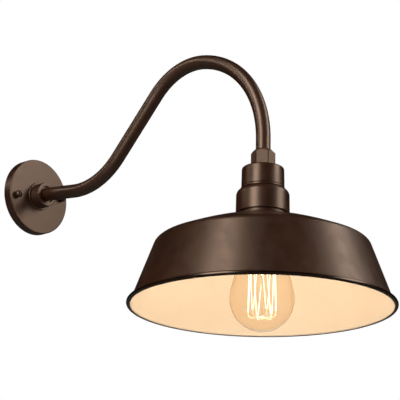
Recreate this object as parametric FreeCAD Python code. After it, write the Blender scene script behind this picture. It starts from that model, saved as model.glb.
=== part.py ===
import FreeCAD, Part
import math
import os

from FreeCAD import Vector

# Gooseneck wall light: a round wall canopy carries a bent tube arm, and a spun metal shade with a
# two-step fitter and a clear pear-shaped lamp hangs from the arm's end.
#
# Frame: millimetres, +Z up. The wall is the plane Y = 0 and the light stands out of it along -Y. The
# origin is the centre of the canopy on the wall, and the arm bends in the plane X = 0.
#
# Turned pieces are drawn as outlines of (radius, height) corners and spun about the bench's Z axis.
# Pieces on the wall axis use height as depth out of the wall. Pieces of the lamp head use height above
# the top face of the fitter's upper cup, so they hang below zero.

# ---------------------------------------------------------------- fits
FIT = 0.05  # radial clearance of a thread or a push fit that stays put
RUN = 0.1  # clearance of what turns: the arm in its collar, the lamp in its socket
HOLE_SPARE = 0.5  # depth of a hole beyond the end of what stands in it
POINT_CHAMFER = 0.3  # at the point of a small screw
NUT_BEVEL = 30.0  # degrees, at both ends of a hexagonal nut
RECESS_LENGTH = 0.6  # cross recess of a pan head, as shares of the head's diameter
RECESS_WIDTH = 0.14
RECESS_FLOOR = 0.45  # as a share of the head's height
PAN_EDGE = 0.6  # edge radius as a share of the head's height

# ---------------------------------------------------------------- wall canopy
CANOPY_DIAMETER = 114.3
CANOPY_DEPTH = 14.0
CANOPY_WALL = 1.6
CANOPY_EDGE = 1.5  # outer edge radius
GASKET_THICKNESS = 1.5
GASKET_WIDTH = 5.6
GASKET_INSET = 1.6  # from the canopy's outer edge

PLATE_DIAMETER = 98.0
PLATE_THICKNESS = 1.6
PLATE_WIRE_HOLE = 32.0
BOX_SPACING_SMALL = 69.85  # screw spacing of the small outlet box, 2-3/4 in
BOX_SPACING_LARGE = 88.9  # screw spacing of the large outlet box, 3-1/2 in
BOX_SCREW_SLOT = 4.8

STUD_DIAMETER = 4.1
STUD_SPACING = 88.9
STUD_LENGTH = 22.0  # out of the wall
STUD_HEAD_DIAMETER = 6.4
STUD_HEAD_THICKNESS = 0.8
STUD_POINT_CHAMFER = 0.4
STUD_TURN = 9.0  # of the pair of studs about the canopy's centre, degrees from level
STUD_HOLE_CLEARANCE = 0.3
CAP_NUT_DIAMETER = 11.0
CAP_NUT_FOOT = 8.6
CAP_NUT_FOOT_HEIGHT = 1.0
CAP_NUT_FOOT_EDGE = 1.5
CAP_NUT_BALL_RISE = 1.2  # from the ball's widest level down to where it rounds in to the foot
CAP_NUT_CROWN = 0.96  # crown radius as a share of the ball's radius
CAP_NUT_HEIGHT = 9.6
CAP_NUT_SLOT = 1.4
CAP_NUT_SLOT_DEPTH = 1.3

GROUND_SCREW_DROP = 26.0  # below the plate's centre
GROUND_SCREW_DIAMETER = 4.0
GROUND_SCREW_HEAD = 7.6
GROUND_SCREW_HEAD_HEIGHT = 2.0
TERMINAL_THICKNESS = 0.8
TERMINAL_DIAMETER = 8.6
TERMINAL_BARREL_START = 1.5  # from the ring's edge to the barrel
TERMINAL_BARREL_LENGTH = 5.0
TERMINAL_BARREL_SINK = 0.6  # of the barrel's round into the tongue
TERMINAL_TONGUE = 3.2

# ---------------------------------------------------------------- collar that holds the arm
COLLAR_WASHER_DIAMETER = 43.0
COLLAR_WASHER_THICKNESS = 2.5
COLLAR_WASHER_EDGE = 1.0
COLLAR_DIAMETER = 37.0
COLLAR_LENGTH = 16.3
COLLAR_MOUTH_DIAMETER = 25.4
COLLAR_MOUTH_DEPTH = 3.6
COLLAR_MOUTH_DRAFT = 0.6
COLLAR_CHAMFER = 1.2
SET_SCREW_DIAMETER = 5.0
SET_SCREW_SOCKET = 2.5  # across flats
SET_SCREW_SOCKET_DEPTH = 3.0
SET_SCREW_SINK = 0.4  # of its back below the collar's surface

# ---------------------------------------------------------------- gooseneck arm
ARM_DIAMETER = 20.0
ARM_WALL = 1.5
ARM_STRAIGHT = 30.7  # from the wall to the first bend, which starts in the collar's mouth
DIP_RADIUS = 80.0
DIP_ANGLE = 6.5  # the arm leaves its collar a little downwards
DIP_LENGTH = 53.5
RISE_RADIUS = 109.0
RISE_ANGLE = 46.0
INCLINE_LENGTH = 109.1
CROWN_BACK_RADIUS = 99.0
CROWN_CHANGE_ANGLE = -11.3  # slope of the crown where its radius changes
CROWN_FRONT_RADIUS = 141.3
DROP_LENGTH = 30.3  # straight end, down to the end inside the coupling
ARM_TAIL_DEPTH = 8.2  # how far from the wall the tube ends inside the canopy
ARM_NUT_FLATS = 27.0
ARM_NUT_THICKNESS = 4.0
ARM_WASHER_DIAMETER = 31.0
ARM_WASHER_THICKNESS = 1.0

# ---------------------------------------------------------------- coupling and nipple
COUPLING_FLATS = 28.6
COUPLING_LENGTH = 25.2
COUPLING_CHAMFER_HEIGHT = 5.6
COUPLING_RIM = 1.0  # width of its top face round the arm
COUPLING_TURN = 35.5  # where its flats came to rest when it was screwed tight
ARM_SEAT = 13.6  # depth of the arm in the coupling
NIPPLE_DIAMETER = 16.0
NIPPLE_BORE = 12.0
NIPPLE_BELOW_CUP = 13.0  # below the upper cup's top face
NIPPLE_SHORT = 0.5  # of the nipple from the seat of the arm
HEAD_NUT_FLATS = 22.0
HEAD_NUT_THICKNESS = 4.6
HEAD_WASHER_DIAMETER = 25.0
HEAD_WASHER_THICKNESS = 1.0

# ---------------------------------------------------------------- fitter: upper cup, trim ring, lower cup
UPPER_CUP_DIAMETER = 56.8
UPPER_CUP_HEIGHT = 27.4
UPPER_CUP_CORNER = 3.6
CUP_WALL = 2.4
CUP_DRAFT = 0.5  # growth of each cup's radius towards its foot
TRIM_RING_DIAMETER = 58.6
TRIM_RING_THICKNESS = 3.0
TRIM_RING_EDGE = 0.96
LOWER_CUP_DIAMETER = 71.0
LOWER_CUP_HEIGHT = 34.0
LOWER_CUP_SHOULDER = 9.5
SPIGOT_HEIGHT = 9.0
SPIGOT_WALL = 2.4
FOOT_CHAMFER = 0.7

# ---------------------------------------------------------------- shade
SHADE_DIAMETER = 355.6
SHADE_SHEET = 1.0
SHADE_NECK_GAP = 0.4  # between the neck and the lower cup's wall
SHADE_NECK_UP = 6.0  # neck above the lower cup's foot
SHADE_NECK_DOWN = 5.4  # neck below the lower cup's foot
SHADE_NECK_FLARE = 4.5
SHADE_FLANGE_CORNER = 1.6
SHADE_INNER_SLOPE = 15.0  # of the crown beside the neck, degrees below level
SHADE_OUTER_SLOPE = 22.0  # of the crown beside the shoulder, degrees below level
SHADE_BREAK_DIAMETER = 174.0  # where the two slopes meet
SHADE_CROWN_RADIUS = 620.0
SHADE_SHOULDER_DIAMETER = 284.6  # at the corner of crown and skirt
SHADE_SHOULDER_RADIUS = 12.0
SHADE_SKIRT_HEIGHT = 82.8  # from the shoulder's corner to the bead's centre
SHADE_BEAD_DIAMETER = 6.0
SHADE_BEAD_GRIP = 1.3  # of the skirt's face into the bead
SHADE_FLANGE_HOLE = 48.0
SHADE_SCREW_CIRCLE = 54.0
SHADE_SCREW_DIAMETER = 3.0
SHADE_SCREW_LENGTH = 9.0
SHADE_SCREW_HEAD = 5.4
SHADE_SCREW_HEAD_HEIGHT = 1.8
SHADE_SCREW_CLEARANCE = 0.3
SHADE_SCREW_SHORT = 0.5  # of the screw from the end of its hole
SHADE_SCREW_COUNT = 3
SHADE_GASKET_THICKNESS = 1.2
SHADE_GASKET_INSET = 0.8
BOSS_DIAMETER = 6.4
BOSS_WEB = 2.4

# ---------------------------------------------------------------- lamp socket
SOCKET_DIAMETER = 40.0
SOCKET_TOP = 18.4  # below the upper cup's top face
SOCKET_HEIGHT = 50.0
SOCKET_LIP = 3.0
SOCKET_CROWN_INSET = 3.0
SOCKET_CROWN_HEIGHT = 8.0
SOCKET_SHOULDER = 2.0
SOCKET_EDGE = 1.5
SHELL_WALL = 0.4
SHELL_DEPTH = 27.0
SHELL_LIP = 2.0
CONTACT_DIAMETER = 12.0
CONTACT_THICKNESS = 0.6
CONTACT_WELL_GAP = 1.0
BRACKET_WIDTH = 22.0
BRACKET_THICKNESS = 1.5
BRACKET_SPAN = 32.0
BRACKET_FOOT = 9.0
BRACKET_HEAD_GAP = 0.3  # from the bracket's legs to the heads of its screws
SOCKET_SCREW_DIAMETER = 3.0
SOCKET_SCREW_HEAD = 5.6
SOCKET_SCREW_HEAD_HEIGHT = 1.8
TERMINAL_SCREW_SPACING = 25.0
TERMINAL_SCREW_DIAMETER = 3.5
TERMINAL_SCREW_HEAD = 6.6
TERMINAL_SCREW_HEAD_HEIGHT = 1.6
SCREW_DEPTH = 6.0  # of the small screws in the porcelain

# ---------------------------------------------------------------- lamp
LAMP_BASE_DIAMETER = 26.0
LAMP_BASE_LENGTH = 22.0
LAMP_BASE_BORE = 24.8
LAMP_BASE_BEVEL = 1.2
LAMP_BASE_ROOF = 0.6
LAMP_NECK_DIAMETER = 29.0
LAMP_BOWL_DIAMETER = 85.4
LAMP_FLANK_RADIUS = 150.0  # of the long flank between bowl and neck curve
LAMP_NECK_LENGTH = 15.09229  # from the cap down to where the glass starts to widen
LAMP_FLANK_START = 8.0  # slope of the glass where the flank leaves the bowl, degrees from the axis
LAMP_LENGTH = 152.0  # glass below the screw cap
LAMP_GLASS = 0.8
LAMP_SEAL_DEPTH = 6.0  # glass inside the screw cap
LAMP_SEAL_SHOULDER = 1.6
LAMP_INSULATOR_HEIGHT = 3.4
LAMP_INSULATOR_MARGIN = 2.0  # of its foot round the tip
LAMP_INSULATOR_SEAT = 2.0  # depth in the cap
LAMP_TIP_DIAMETER = 9.0
LAMP_TIP_HEIGHT = 1.6
LAMP_TIP_EDGE = 1.2
STEM_DIAMETER = 9.0
STEM_LENGTH = 28.0
STEM_INSET = 3.0  # of the stem's rim below the top of the neck
STEM_RIM = 1.2
STEM_FLARE_HEIGHT = 9.0
STEM_PINCH_HEIGHT = 6.0
STEM_CURVE = 4.0
ROD_DIAMETER = 3.0
ROD_CURVE = 3.0
CAGE_TOP_GAP = 25.4  # from the inside of the bowl, across the axis, to the upper hooks
CAGE_FOOT_GAP = 23.4
CAGE_TOP = 46.0  # below the foot of the screw cap
CAGE_FOOT = 126.0  # below the foot of the screw cap
CAGE_STRANDS = 12
FILAMENT_DIAMETER = 0.7
HOOK_SHARE = 0.12  # of the spacing between strands, from a hook to the strand end beside it
HOOK_DIAMETER = 0.8
HUB_DIAMETER = 6.0
HUB_HEIGHT = 4.0
HUB_DROP = 8.0  # of each spider's hub from its hooks
HUB_EDGE = 1.0
HOOK_ROOT = 0.6  # of each hook's wire inside its hub
HOOK_BEND = 4.8
LEAD_WIRE_ROOT = 8.0  # of the lead wires above the stem's foot
LEAD_WIRE_KNEE = 0.8  # distance of their bend from the lamp axis, as a share of the hooks' distance
LEAD_WIRE_RISE = 2.0  # of that bend above the hooks
LEAD_WIRE_BEND = 1.5

# ---------------------------------------------------------------- leads
LEAD_DIAMETER = 2.2
LEAD_SPACING = 3.0
LEAD_DEPTH = 4.6  # distance of the leads from the wall where they run inside the canopy
LEAD_BEND = 3.2
WIRE_NUT_DIAMETER = 9.4
WIRE_NUT_TIP_DIAMETER = 5.6
WIRE_NUT_LENGTH = 17.0
WIRE_NUT_WALL = 1.0
WIRE_NUT_SKIRT = 4.0  # straight length at the mouth
WIRE_NUT_CAP = 3.0  # solid end
WIRE_NUT_LIP = 0.4
WIRE_NUT_CROWN = 1.2
WIRE_NUT_OFFSET = 15.0  # sideways from the canopy's centre
WIRE_NUT_HEIGHT = 21.0  # of the mouth above the canopy's centre
LEAD_IN_NUT = 9.0
LEAD_ENTRY = 12.0  # distance from the wall where the leads run straight in the arm
LEAD_TURN_SHARE = 0.45  # height where a line lead turns in from its wire nut, as a share of the nut's

# ---------------------------------------------------------------- levels that follow from the sizes
CANOPY_FACE = GASKET_THICKNESS + CANOPY_DEPTH
CANOPY_INNER_FACE = CANOPY_FACE - CANOPY_WALL
COLLAR_FOOT = CANOPY_FACE + COLLAR_WASHER_THICKNESS
COLLAR_END = COLLAR_FOOT + COLLAR_LENGTH
SET_SCREW_DEPTH = COLLAR_FOOT + (COLLAR_LENGTH - COLLAR_MOUTH_DEPTH) / 2

RING_TOP = -UPPER_CUP_HEIGHT
LOWER_CUP_TOP = RING_TOP - TRIM_RING_THICKNESS
LOWER_CUP_FOOT = LOWER_CUP_TOP - LOWER_CUP_HEIGHT
FLANGE_TOP = LOWER_CUP_FOOT + SHADE_NECK_UP
BOSS_FOOT = FLANGE_TOP + SHADE_GASKET_THICKNESS
LOWER_CUP_BORE = LOWER_CUP_DIAMETER / 2 - CUP_WALL  # radius
SHADE_NECK_RADIUS = LOWER_CUP_BORE - SHADE_NECK_GAP
SPIGOT_RADIUS = UPPER_CUP_DIAMETER / 2 - CUP_WALL - FIT

SOCKET_FOOT = -SOCKET_TOP - SOCKET_HEIGHT
SHELL_RADIUS = LAMP_BASE_DIAMETER / 2 + RUN
GLASS_TOP = SOCKET_FOOT - SOCKET_LIP
BASE_TOP = GLASS_TOP + LAMP_BASE_LENGTH
TIP_TOP = BASE_TOP + LAMP_INSULATOR_HEIGHT + LAMP_TIP_HEIGHT
STEM_TOP = GLASS_TOP - STEM_INSET
STEM_FOOT = STEM_TOP - STEM_LENGTH
BRACKET_TOP = -CUP_WALL
BRACKET_FOOT_TOP = -SOCKET_TOP + BRACKET_THICKNESS
HEAD_WASHER_TOP = BRACKET_TOP - BRACKET_THICKNESS
HEAD_NUT_TOP = HEAD_WASHER_TOP - HEAD_WASHER_THICKNESS
LEAD_DEPTH_AT_NUT = PLATE_THICKNESS + WIRE_NUT_DIAMETER / 2


# ---------------------------------------------------------------- drawing helpers
def unit(vector):
    return Vector(vector).normalize()


def rounded_edges(points, radii, closed=False):
    """Straight edges through the points, with a tangent arc of its radius at each corner."""
    count = len(points)
    corners = range(count) if closed else range(1, count - 1)
    enter = {i: points[i] for i in range(count)}
    leave = dict(enter)
    arcs = {}
    for i in corners:
        before, here, after = points[i - 1], points[i], points[(i + 1) % count]
        back, ahead = unit(before - here), unit(after - here)
        angle = back.getAngle(ahead)
        if radii[i] <= 0 or math.pi - angle < 1e-6:
            continue
        run = radii[i] / math.tan(angle / 2)
        middle = here + unit(back + ahead) * (radii[i] / math.sin(angle / 2) - radii[i])
        enter[i], leave[i] = here + back * run, here + ahead * run
        arcs[i] = Part.Arc(enter[i], middle, leave[i]).toShape()
    edges = []
    for i in range(count):
        if i in arcs:
            edges.append(arcs[i])
        following = (i + 1) % count
        if (closed or i < count - 1) and (enter[following] - leave[i]).Length > 1e-6:
            edges.append(Part.LineSegment(leave[i], enter[following]).toShape())
    return edges


def turned(corners, around=360.0):
    """Solid of revolution about Z. Each corner is (radius, height) or (radius, height, corner radius)."""
    points = [Vector(c[0], 0, c[1]) for c in corners]
    radii = [c[2] if len(c) > 2 else 0.0 for c in corners]
    face = Part.Face(Part.Wire(rounded_edges(points, radii, closed=True)))
    return face.revolve(Vector(0, 0, 0), Vector(0, 0, 1), around)


def moved_aside(corners, distance):
    """The open outline of a sheet's other face, to the right of the way it is drawn."""
    points = [Vector(c[0], c[1], 0) for c in corners]
    sides = []
    for a, b in zip(points, points[1:]):
        along = unit(b - a)
        sides.append((a + Vector(along.y, -along.x, 0) * distance, along))
    first = sides[0][0]
    last = points[-1] + Vector(sides[-1][1].y, -sides[-1][1].x, 0) * distance
    result = [(first.x, first.y)]
    for (p, u), (q, v), corner in zip(sides, sides[1:], corners[1:-1]):
        turn = u.x * v.y - u.y * v.x
        reach = ((q - p).x * v.y - (q - p).y * v.x) / turn
        radius = corner[2] + math.copysign(distance, turn) if len(corner) > 2 and corner[2] else 0.0
        meet = p + u * reach
        result.append((meet.x, meet.y, max(radius, 0.0)))
    result.append((last.x, last.y))
    return result


def turned_sheet(corners, thickness):
    """Spun sheet: the corners draw one face, and the metal lies to their right."""
    return turned(list(corners) + moved_aside(corners, thickness)[::-1])


def rod(radius, low, high):
    return Part.makeCylinder(radius, high - low, Vector(0, 0, low))


def tube(outer, inner, low, high):
    return rod(outer, low, high).cut(rod(inner, low - 1, high + 1))


def hexagon(flats, low, high):
    """Hexagonal bar along Z with flats facing +-X."""
    radius = flats / math.sqrt(3)
    corners = [
        Vector(radius * math.sin(math.radians(60 * i)), radius * math.cos(math.radians(60 * i)), low)
        for i in range(7)
    ]
    return Part.Face(Part.makePolygon(corners)).extrude(Vector(0, 0, high - low))


def hex_nut(flats, bore, low, high):
    """Hexagonal nut with both ends chamfered."""
    across_corners = flats / math.cos(math.radians(30)) / 2
    bevel = (across_corners - flats / 2) * math.tan(math.radians(NUT_BEVEL))
    barrel = turned(
        [
            (bore, low),
            (flats / 2, low),
            (across_corners, low + bevel),
            (across_corners, high - bevel),
            (flats / 2, high),
            (bore, high),
        ]
    )
    return hexagon(flats, low, high).common(barrel)


def pan_screw(diameter, head, head_height, length):
    """Pan-head screw pointing down -Z, its head standing on Z = 0, with a cross recess."""
    body = turned(
        [
            (0, -length),
            (diameter / 2 - POINT_CHAMFER, -length),
            (diameter / 2, -length + POINT_CHAMFER),
            (diameter / 2, 0),
            (head / 2, 0),
            (head / 2, head_height, head_height * PAN_EDGE),
            (0, head_height),
        ]
    )
    long, wide = head * RECESS_LENGTH, head * RECESS_WIDTH
    slot = Part.makeBox(long, wide, head_height, Vector(-long / 2, -wide / 2, head_height * RECESS_FLOOR))
    across = slot.copy()
    across.rotate(Vector(0, 0, 0), Vector(0, 0, 1), 90)
    return body.cut(slot).cut(across)


def placed(shape, move=(0, 0, 0), turn=0.0, axis=(0, 0, 1)):
    """A copy turned about an axis through the origin and then moved."""
    copy = shape.copy()
    copy.rotate(Vector(0, 0, 0), Vector(*axis), turn)
    copy.translate(Vector(*move))
    return copy


def around_axis(shape, count, start=0.0):
    return [placed(shape, turn=start + 360.0 * i / count) for i in range(count)]


def at_studs(shape):
    """Two copies of a bench piece, one on the axis of each stud."""
    aside = placed(shape, move=(STUD_SPACING / 2, 0, 0))
    return [placed(aside, turn=STUD_TURN + half) for half in (180, 0)]


def fused(*shapes):
    return shapes[0].multiFuse(list(shapes[1:])).removeSplitter()


def group(solids):
    return Part.makeCompound(solids)


def swept(path_edges, profile_radius, bore_radius=0.0):
    """Round bar or pipe along a tangent path."""
    path = Part.Wire(path_edges)
    start = path_edges[0].valueAt(path_edges[0].FirstParameter)
    along = path_edges[0].tangentAt(path_edges[0].FirstParameter)
    rim = Part.Wire(Part.makeCircle(profile_radius, start, along))
    solid = path.makePipeShell([rim], True, False)
    if bore_radius:
        inner = Part.Wire(Part.makeCircle(bore_radius, start, along))
        solid = solid.cut(path.makePipeShell([inner], True, False))
    return solid


def on_wall(shape):
    """From the bench to the wall axis: height becomes depth out of the wall."""
    return placed(shape, turn=90.0, axis=(1, 0, 0))


# ---------------------------------------------------------------- route of the arm
def arm_points():
    """Centre line of the arm as (distance from wall, height) stretches: lines, and arcs through a middle."""
    rise, change = math.radians(RISE_ANGLE), math.radians(CROWN_CHANGE_ANGLE)
    stretches = []
    here, heading = (ARM_TAIL_DEPTH, 0.0), 0.0

    def line(length):
        nonlocal here
        end = (here[0] + length * math.cos(heading), here[1] + length * math.sin(heading))
        stretches.append((here, None, end))
        here = end

    def bend(radius, new_heading):
        nonlocal here, heading
        side = math.copysign(1.0, new_heading - heading)
        centre = (here[0] - side * radius * math.sin(heading), here[1] + side * radius * math.cos(heading))

        def at(angle):
            return (centre[0] + side * radius * math.sin(angle), centre[1] - side * radius * math.cos(angle))

        stretches.append((here, at((heading + new_heading) / 2), at(new_heading)))
        here, heading = at(new_heading), new_heading

    line(ARM_STRAIGHT - ARM_TAIL_DEPTH)
    bend(DIP_RADIUS, -math.radians(DIP_ANGLE))
    line(DIP_LENGTH)
    bend(RISE_RADIUS, rise)
    line(INCLINE_LENGTH)
    bend(CROWN_BACK_RADIUS, change)
    bend(CROWN_FRONT_RADIUS, -math.pi / 2)
    line(DROP_LENGTH)
    return stretches


ARM_ROUTE = arm_points()
REACH = ARM_ROUTE[-1][2][0]  # distance of the lamp axis from the wall
ARM_END = ARM_ROUTE[-1][2][1]  # height of the tube's lower end
COUPLING_TOP = ARM_END + ARM_SEAT
HEAD_TOP = COUPLING_TOP - COUPLING_LENGTH  # height of the upper cup's top face


def arm_edges(sideways=0.0, first=None, last=None):
    """Edges of the arm's route, shifted sideways, with the free ends moved to other depths or heights."""
    edges = []
    for i, (a, middle, b) in enumerate(ARM_ROUTE):
        if i == 0 and first is not None:
            a = (first, a[1])
        if i == len(ARM_ROUTE) - 1 and last is not None:
            b = (b[0], last)
        start, end = (Vector(sideways, -p[0], p[1]) for p in (a, b))
        if middle is None:
            edges.append(Part.LineSegment(start, end).toShape())
        else:
            edges.append(Part.Arc(start, Vector(sideways, -middle[0], middle[1]), end).toShape())
    return edges


def on_head(shape):
    """From the bench to the lamp axis, with bench zero at the upper cup's top face."""
    return placed(shape, move=(0, -REACH, HEAD_TOP))


# ---------------------------------------------------------------- pieces on the wall axis
def wall_gasket():
    outer = CANOPY_DIAMETER / 2 - GASKET_INSET
    return on_wall(tube(outer, outer - GASKET_WIDTH, 0, GASKET_THICKNESS))


def mounting_plate():
    plate = tube(PLATE_DIAMETER / 2, PLATE_WIRE_HOLE / 2, 0, PLATE_THICKNESS)
    half_width = BOX_SCREW_SLOT / 2
    ends = [Vector(0, spacing / 2, -1) for spacing in (BOX_SPACING_SMALL, BOX_SPACING_LARGE)]
    run = ends[1].y - ends[0].y
    slot = Part.makeBox(BOX_SCREW_SLOT, run, PLATE_THICKNESS + 2, ends[0] - Vector(half_width, 0, 0))
    for end in ends:
        slot = slot.fuse(Part.makeCylinder(half_width, PLATE_THICKNESS + 2, end))
    for side in (0, 180):
        plate = plate.cut(placed(slot, turn=side))
    for seat in at_studs(stud_body(FIT)):
        plate = plate.cut(seat)
    ground_hole = rod(GROUND_SCREW_DIAMETER / 2 + FIT, -1, PLATE_THICKNESS + 1)
    return on_wall(plate.cut(placed(ground_hole, move=(0, -GROUND_SCREW_DROP, 0))))


def stud_body(gap=0.0):
    """Clinch stud, its head flush with the wall side of the plate; gap widens it to cut its seat."""
    return turned(
        [
            (0, 0),
            (STUD_HEAD_DIAMETER / 2 + gap, 0),
            (STUD_HEAD_DIAMETER / 2 + gap, STUD_HEAD_THICKNESS),
            (STUD_DIAMETER / 2 + gap, STUD_HEAD_THICKNESS),
            (STUD_DIAMETER / 2 + gap, STUD_LENGTH - STUD_POINT_CHAMFER),
            (STUD_DIAMETER / 2 + gap - STUD_POINT_CHAMFER, STUD_LENGTH),
            (0, STUD_LENGTH),
        ]
    )


def canopy_studs():
    return group([on_wall(stud) for stud in at_studs(stud_body())])


def cap_nuts():
    """Ball nuts on the ends of the studs, with a coin slot."""
    radius, top = CAP_NUT_DIAMETER / 2, CANOPY_FACE + CAP_NUT_HEIGHT
    ball = turned(
        [
            (0, CANOPY_FACE),
            (CAP_NUT_FOOT / 2, CANOPY_FACE),
            (CAP_NUT_FOOT / 2, CANOPY_FACE + CAP_NUT_FOOT_HEIGHT),
            (radius, top - radius - CAP_NUT_BALL_RISE, CAP_NUT_FOOT_EDGE),
            (radius, top, radius * CAP_NUT_CROWN),
            (0, top),
        ]
    )
    thread = rod(STUD_DIAMETER / 2 + FIT, CANOPY_FACE - 1, STUD_LENGTH + HOLE_SPARE)
    slot_corner = Vector(-CAP_NUT_SLOT / 2, -radius, top - CAP_NUT_SLOT_DEPTH)
    slot = Part.makeBox(CAP_NUT_SLOT, CAP_NUT_DIAMETER, 2 * CAP_NUT_SLOT_DEPTH, slot_corner)
    return group([on_wall(nut) for nut in at_studs(ball.cut(thread).cut(slot))])


def canopy():
    radius = CANOPY_DIAMETER / 2
    pan = turned(
        [
            (ARM_DIAMETER / 2 + RUN, CANOPY_INNER_FACE),
            (radius - CANOPY_WALL, CANOPY_INNER_FACE, max(CANOPY_EDGE - CANOPY_WALL, 0)),
            (radius - CANOPY_WALL, GASKET_THICKNESS),
            (radius, GASKET_THICKNESS),
            (radius, CANOPY_FACE, CANOPY_EDGE),
            (ARM_DIAMETER / 2 + RUN, CANOPY_FACE),
        ]
    )
    hole = rod(STUD_DIAMETER / 2 + STUD_HOLE_CLEARANCE, CANOPY_INNER_FACE - 1, CANOPY_FACE + 1)
    for cutter in at_studs(hole):
        pan = pan.cut(cutter)
    return on_wall(pan)


def ground_terminal():
    """Ring terminal clamped on the plate, with its barrel round the earth lead."""
    top = PLATE_THICKNESS + TERMINAL_THICKNESS
    hole = GROUND_SCREW_DIAMETER / 2 + FIT
    ring = tube(TERMINAL_DIAMETER / 2, hole, PLATE_THICKNESS, top)
    barrel_start = TERMINAL_DIAMETER / 2 + TERMINAL_BARREL_START
    corner = Vector(-TERMINAL_TONGUE / 2, hole, PLATE_THICKNESS)
    tongue = Part.makeBox(TERMINAL_TONGUE, barrel_start + 1 - hole, TERMINAL_THICKNESS, corner)
    inner, outer = LEAD_DIAMETER / 2 + FIT, LEAD_DEPTH - top + TERMINAL_BARREL_SINK
    barrel = placed(tube(outer, inner, 0, TERMINAL_BARREL_LENGTH), turn=-90, axis=(1, 0, 0))
    barrel = placed(barrel, move=(0, barrel_start, LEAD_DEPTH))
    reach = barrel_start + TERMINAL_BARREL_LENGTH
    barrel = barrel.cut(Part.makeBox(2 * outer, reach, outer, Vector(-outer, 0, PLATE_THICKNESS - outer)))
    shape = fused(ring, tongue.cut(rod(hole, 0, top + 1)), barrel)
    return on_wall(placed(shape, move=(0, -GROUND_SCREW_DROP, 0)))


def ground_screw():
    length = PLATE_THICKNESS + TERMINAL_THICKNESS
    screw = pan_screw(GROUND_SCREW_DIAMETER, GROUND_SCREW_HEAD, GROUND_SCREW_HEAD_HEIGHT, length)
    return on_wall(placed(screw, move=(0, -GROUND_SCREW_DROP, length)))


def collar_washer():
    washer = turned(
        [
            (ARM_DIAMETER / 2 + RUN, CANOPY_FACE),
            (COLLAR_WASHER_DIAMETER / 2, CANOPY_FACE),
            (COLLAR_WASHER_DIAMETER / 2, COLLAR_FOOT, COLLAR_WASHER_EDGE),
            (ARM_DIAMETER / 2 + RUN, COLLAR_FOOT),
        ]
    )
    return on_wall(washer)


def collar():
    """Turned hub with a wide mouth round the arm and a set screw from below."""
    inner, outer = ARM_DIAMETER / 2 + RUN, COLLAR_DIAMETER / 2
    body = turned(
        [
            (inner, COLLAR_FOOT),
            (outer, COLLAR_FOOT),
            (outer, COLLAR_END - COLLAR_CHAMFER),
            (outer - COLLAR_CHAMFER, COLLAR_END),
            (COLLAR_MOUTH_DIAMETER / 2, COLLAR_END),
            (COLLAR_MOUTH_DIAMETER / 2 - COLLAR_MOUTH_DRAFT, COLLAR_END - COLLAR_MOUTH_DEPTH),
            (inner, COLLAR_END - COLLAR_MOUTH_DEPTH),
        ]
    )
    hole = placed(rod(SET_SCREW_DIAMETER / 2 + FIT, -outer - 1, 0), turn=-90, axis=(1, 0, 0))
    return on_wall(body.cut(placed(hole, move=(0, 0, SET_SCREW_DEPTH))))


def collar_set_screw():
    """Grub screw with a hexagon socket; its point stops just short of the arm."""
    point, back = ARM_DIAMETER / 2 + RUN, COLLAR_DIAMETER / 2 - SET_SCREW_SINK
    screw = rod(SET_SCREW_DIAMETER / 2, -back, -point)
    screw = screw.cut(hexagon(SET_SCREW_SOCKET, -back - 1, -back + SET_SCREW_SOCKET_DEPTH))
    return placed(screw, move=(0, -SET_SCREW_DEPTH, 0))


def arm_washer():
    low = CANOPY_INNER_FACE - ARM_WASHER_THICKNESS
    return on_wall(tube(ARM_WASHER_DIAMETER / 2, ARM_DIAMETER / 2 + RUN, low, CANOPY_INNER_FACE))


def arm_locknut():
    """Nut on the arm's threaded tail, which keeps the arm in the canopy and turns with it."""
    high = CANOPY_INNER_FACE - ARM_WASHER_THICKNESS - RUN
    return on_wall(hex_nut(ARM_NUT_FLATS, ARM_DIAMETER / 2 + FIT, high - ARM_NUT_THICKNESS, high))


# ---------------------------------------------------------------- arm and coupling
def gooseneck_arm():
    return swept(arm_edges(), ARM_DIAMETER / 2, ARM_DIAMETER / 2 - ARM_WALL)


def hex_coupling():
    """Hexagonal coupling with a coned top, bored for the arm above and for the nipple below."""
    high, low = COUPLING_LENGTH, 0.0
    corner = COUPLING_FLATS / math.sqrt(3)
    seat = COUPLING_LENGTH - ARM_SEAT
    cone = turned(
        [
            (NIPPLE_DIAMETER / 2 + FIT, low),
            (corner, low),
            (corner, high - COUPLING_CHAMFER_HEIGHT),
            (ARM_DIAMETER / 2 + COUPLING_RIM, high),
            (ARM_DIAMETER / 2 + FIT, high),
            (ARM_DIAMETER / 2 + FIT, seat),
            (NIPPLE_DIAMETER / 2 + FIT, seat),
        ]
    )
    return on_head(placed(hexagon(COUPLING_FLATS, low, high), turn=COUPLING_TURN).common(cone))


def head_nipple():
    seat = COUPLING_LENGTH - ARM_SEAT
    return on_head(tube(NIPPLE_DIAMETER / 2, NIPPLE_BORE / 2, -NIPPLE_BELOW_CUP, seat - NIPPLE_SHORT))


# ---------------------------------------------------------------- fitter
def upper_cup():
    top, foot = UPPER_CUP_DIAMETER / 2, UPPER_CUP_DIAMETER / 2 + CUP_DRAFT
    cup = turned(
        [
            (NIPPLE_DIAMETER / 2 + FIT, 0),
            (top, 0, UPPER_CUP_CORNER),
            (foot, RING_TOP + FOOT_CHAMFER),
            (foot - FOOT_CHAMFER, RING_TOP),
            (SPIGOT_RADIUS + FIT, RING_TOP),
            (SPIGOT_RADIUS + FIT, -CUP_WALL, UPPER_CUP_CORNER / 2),
            (NIPPLE_DIAMETER / 2 + FIT, -CUP_WALL),
        ]
    )
    return on_head(cup)


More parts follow.
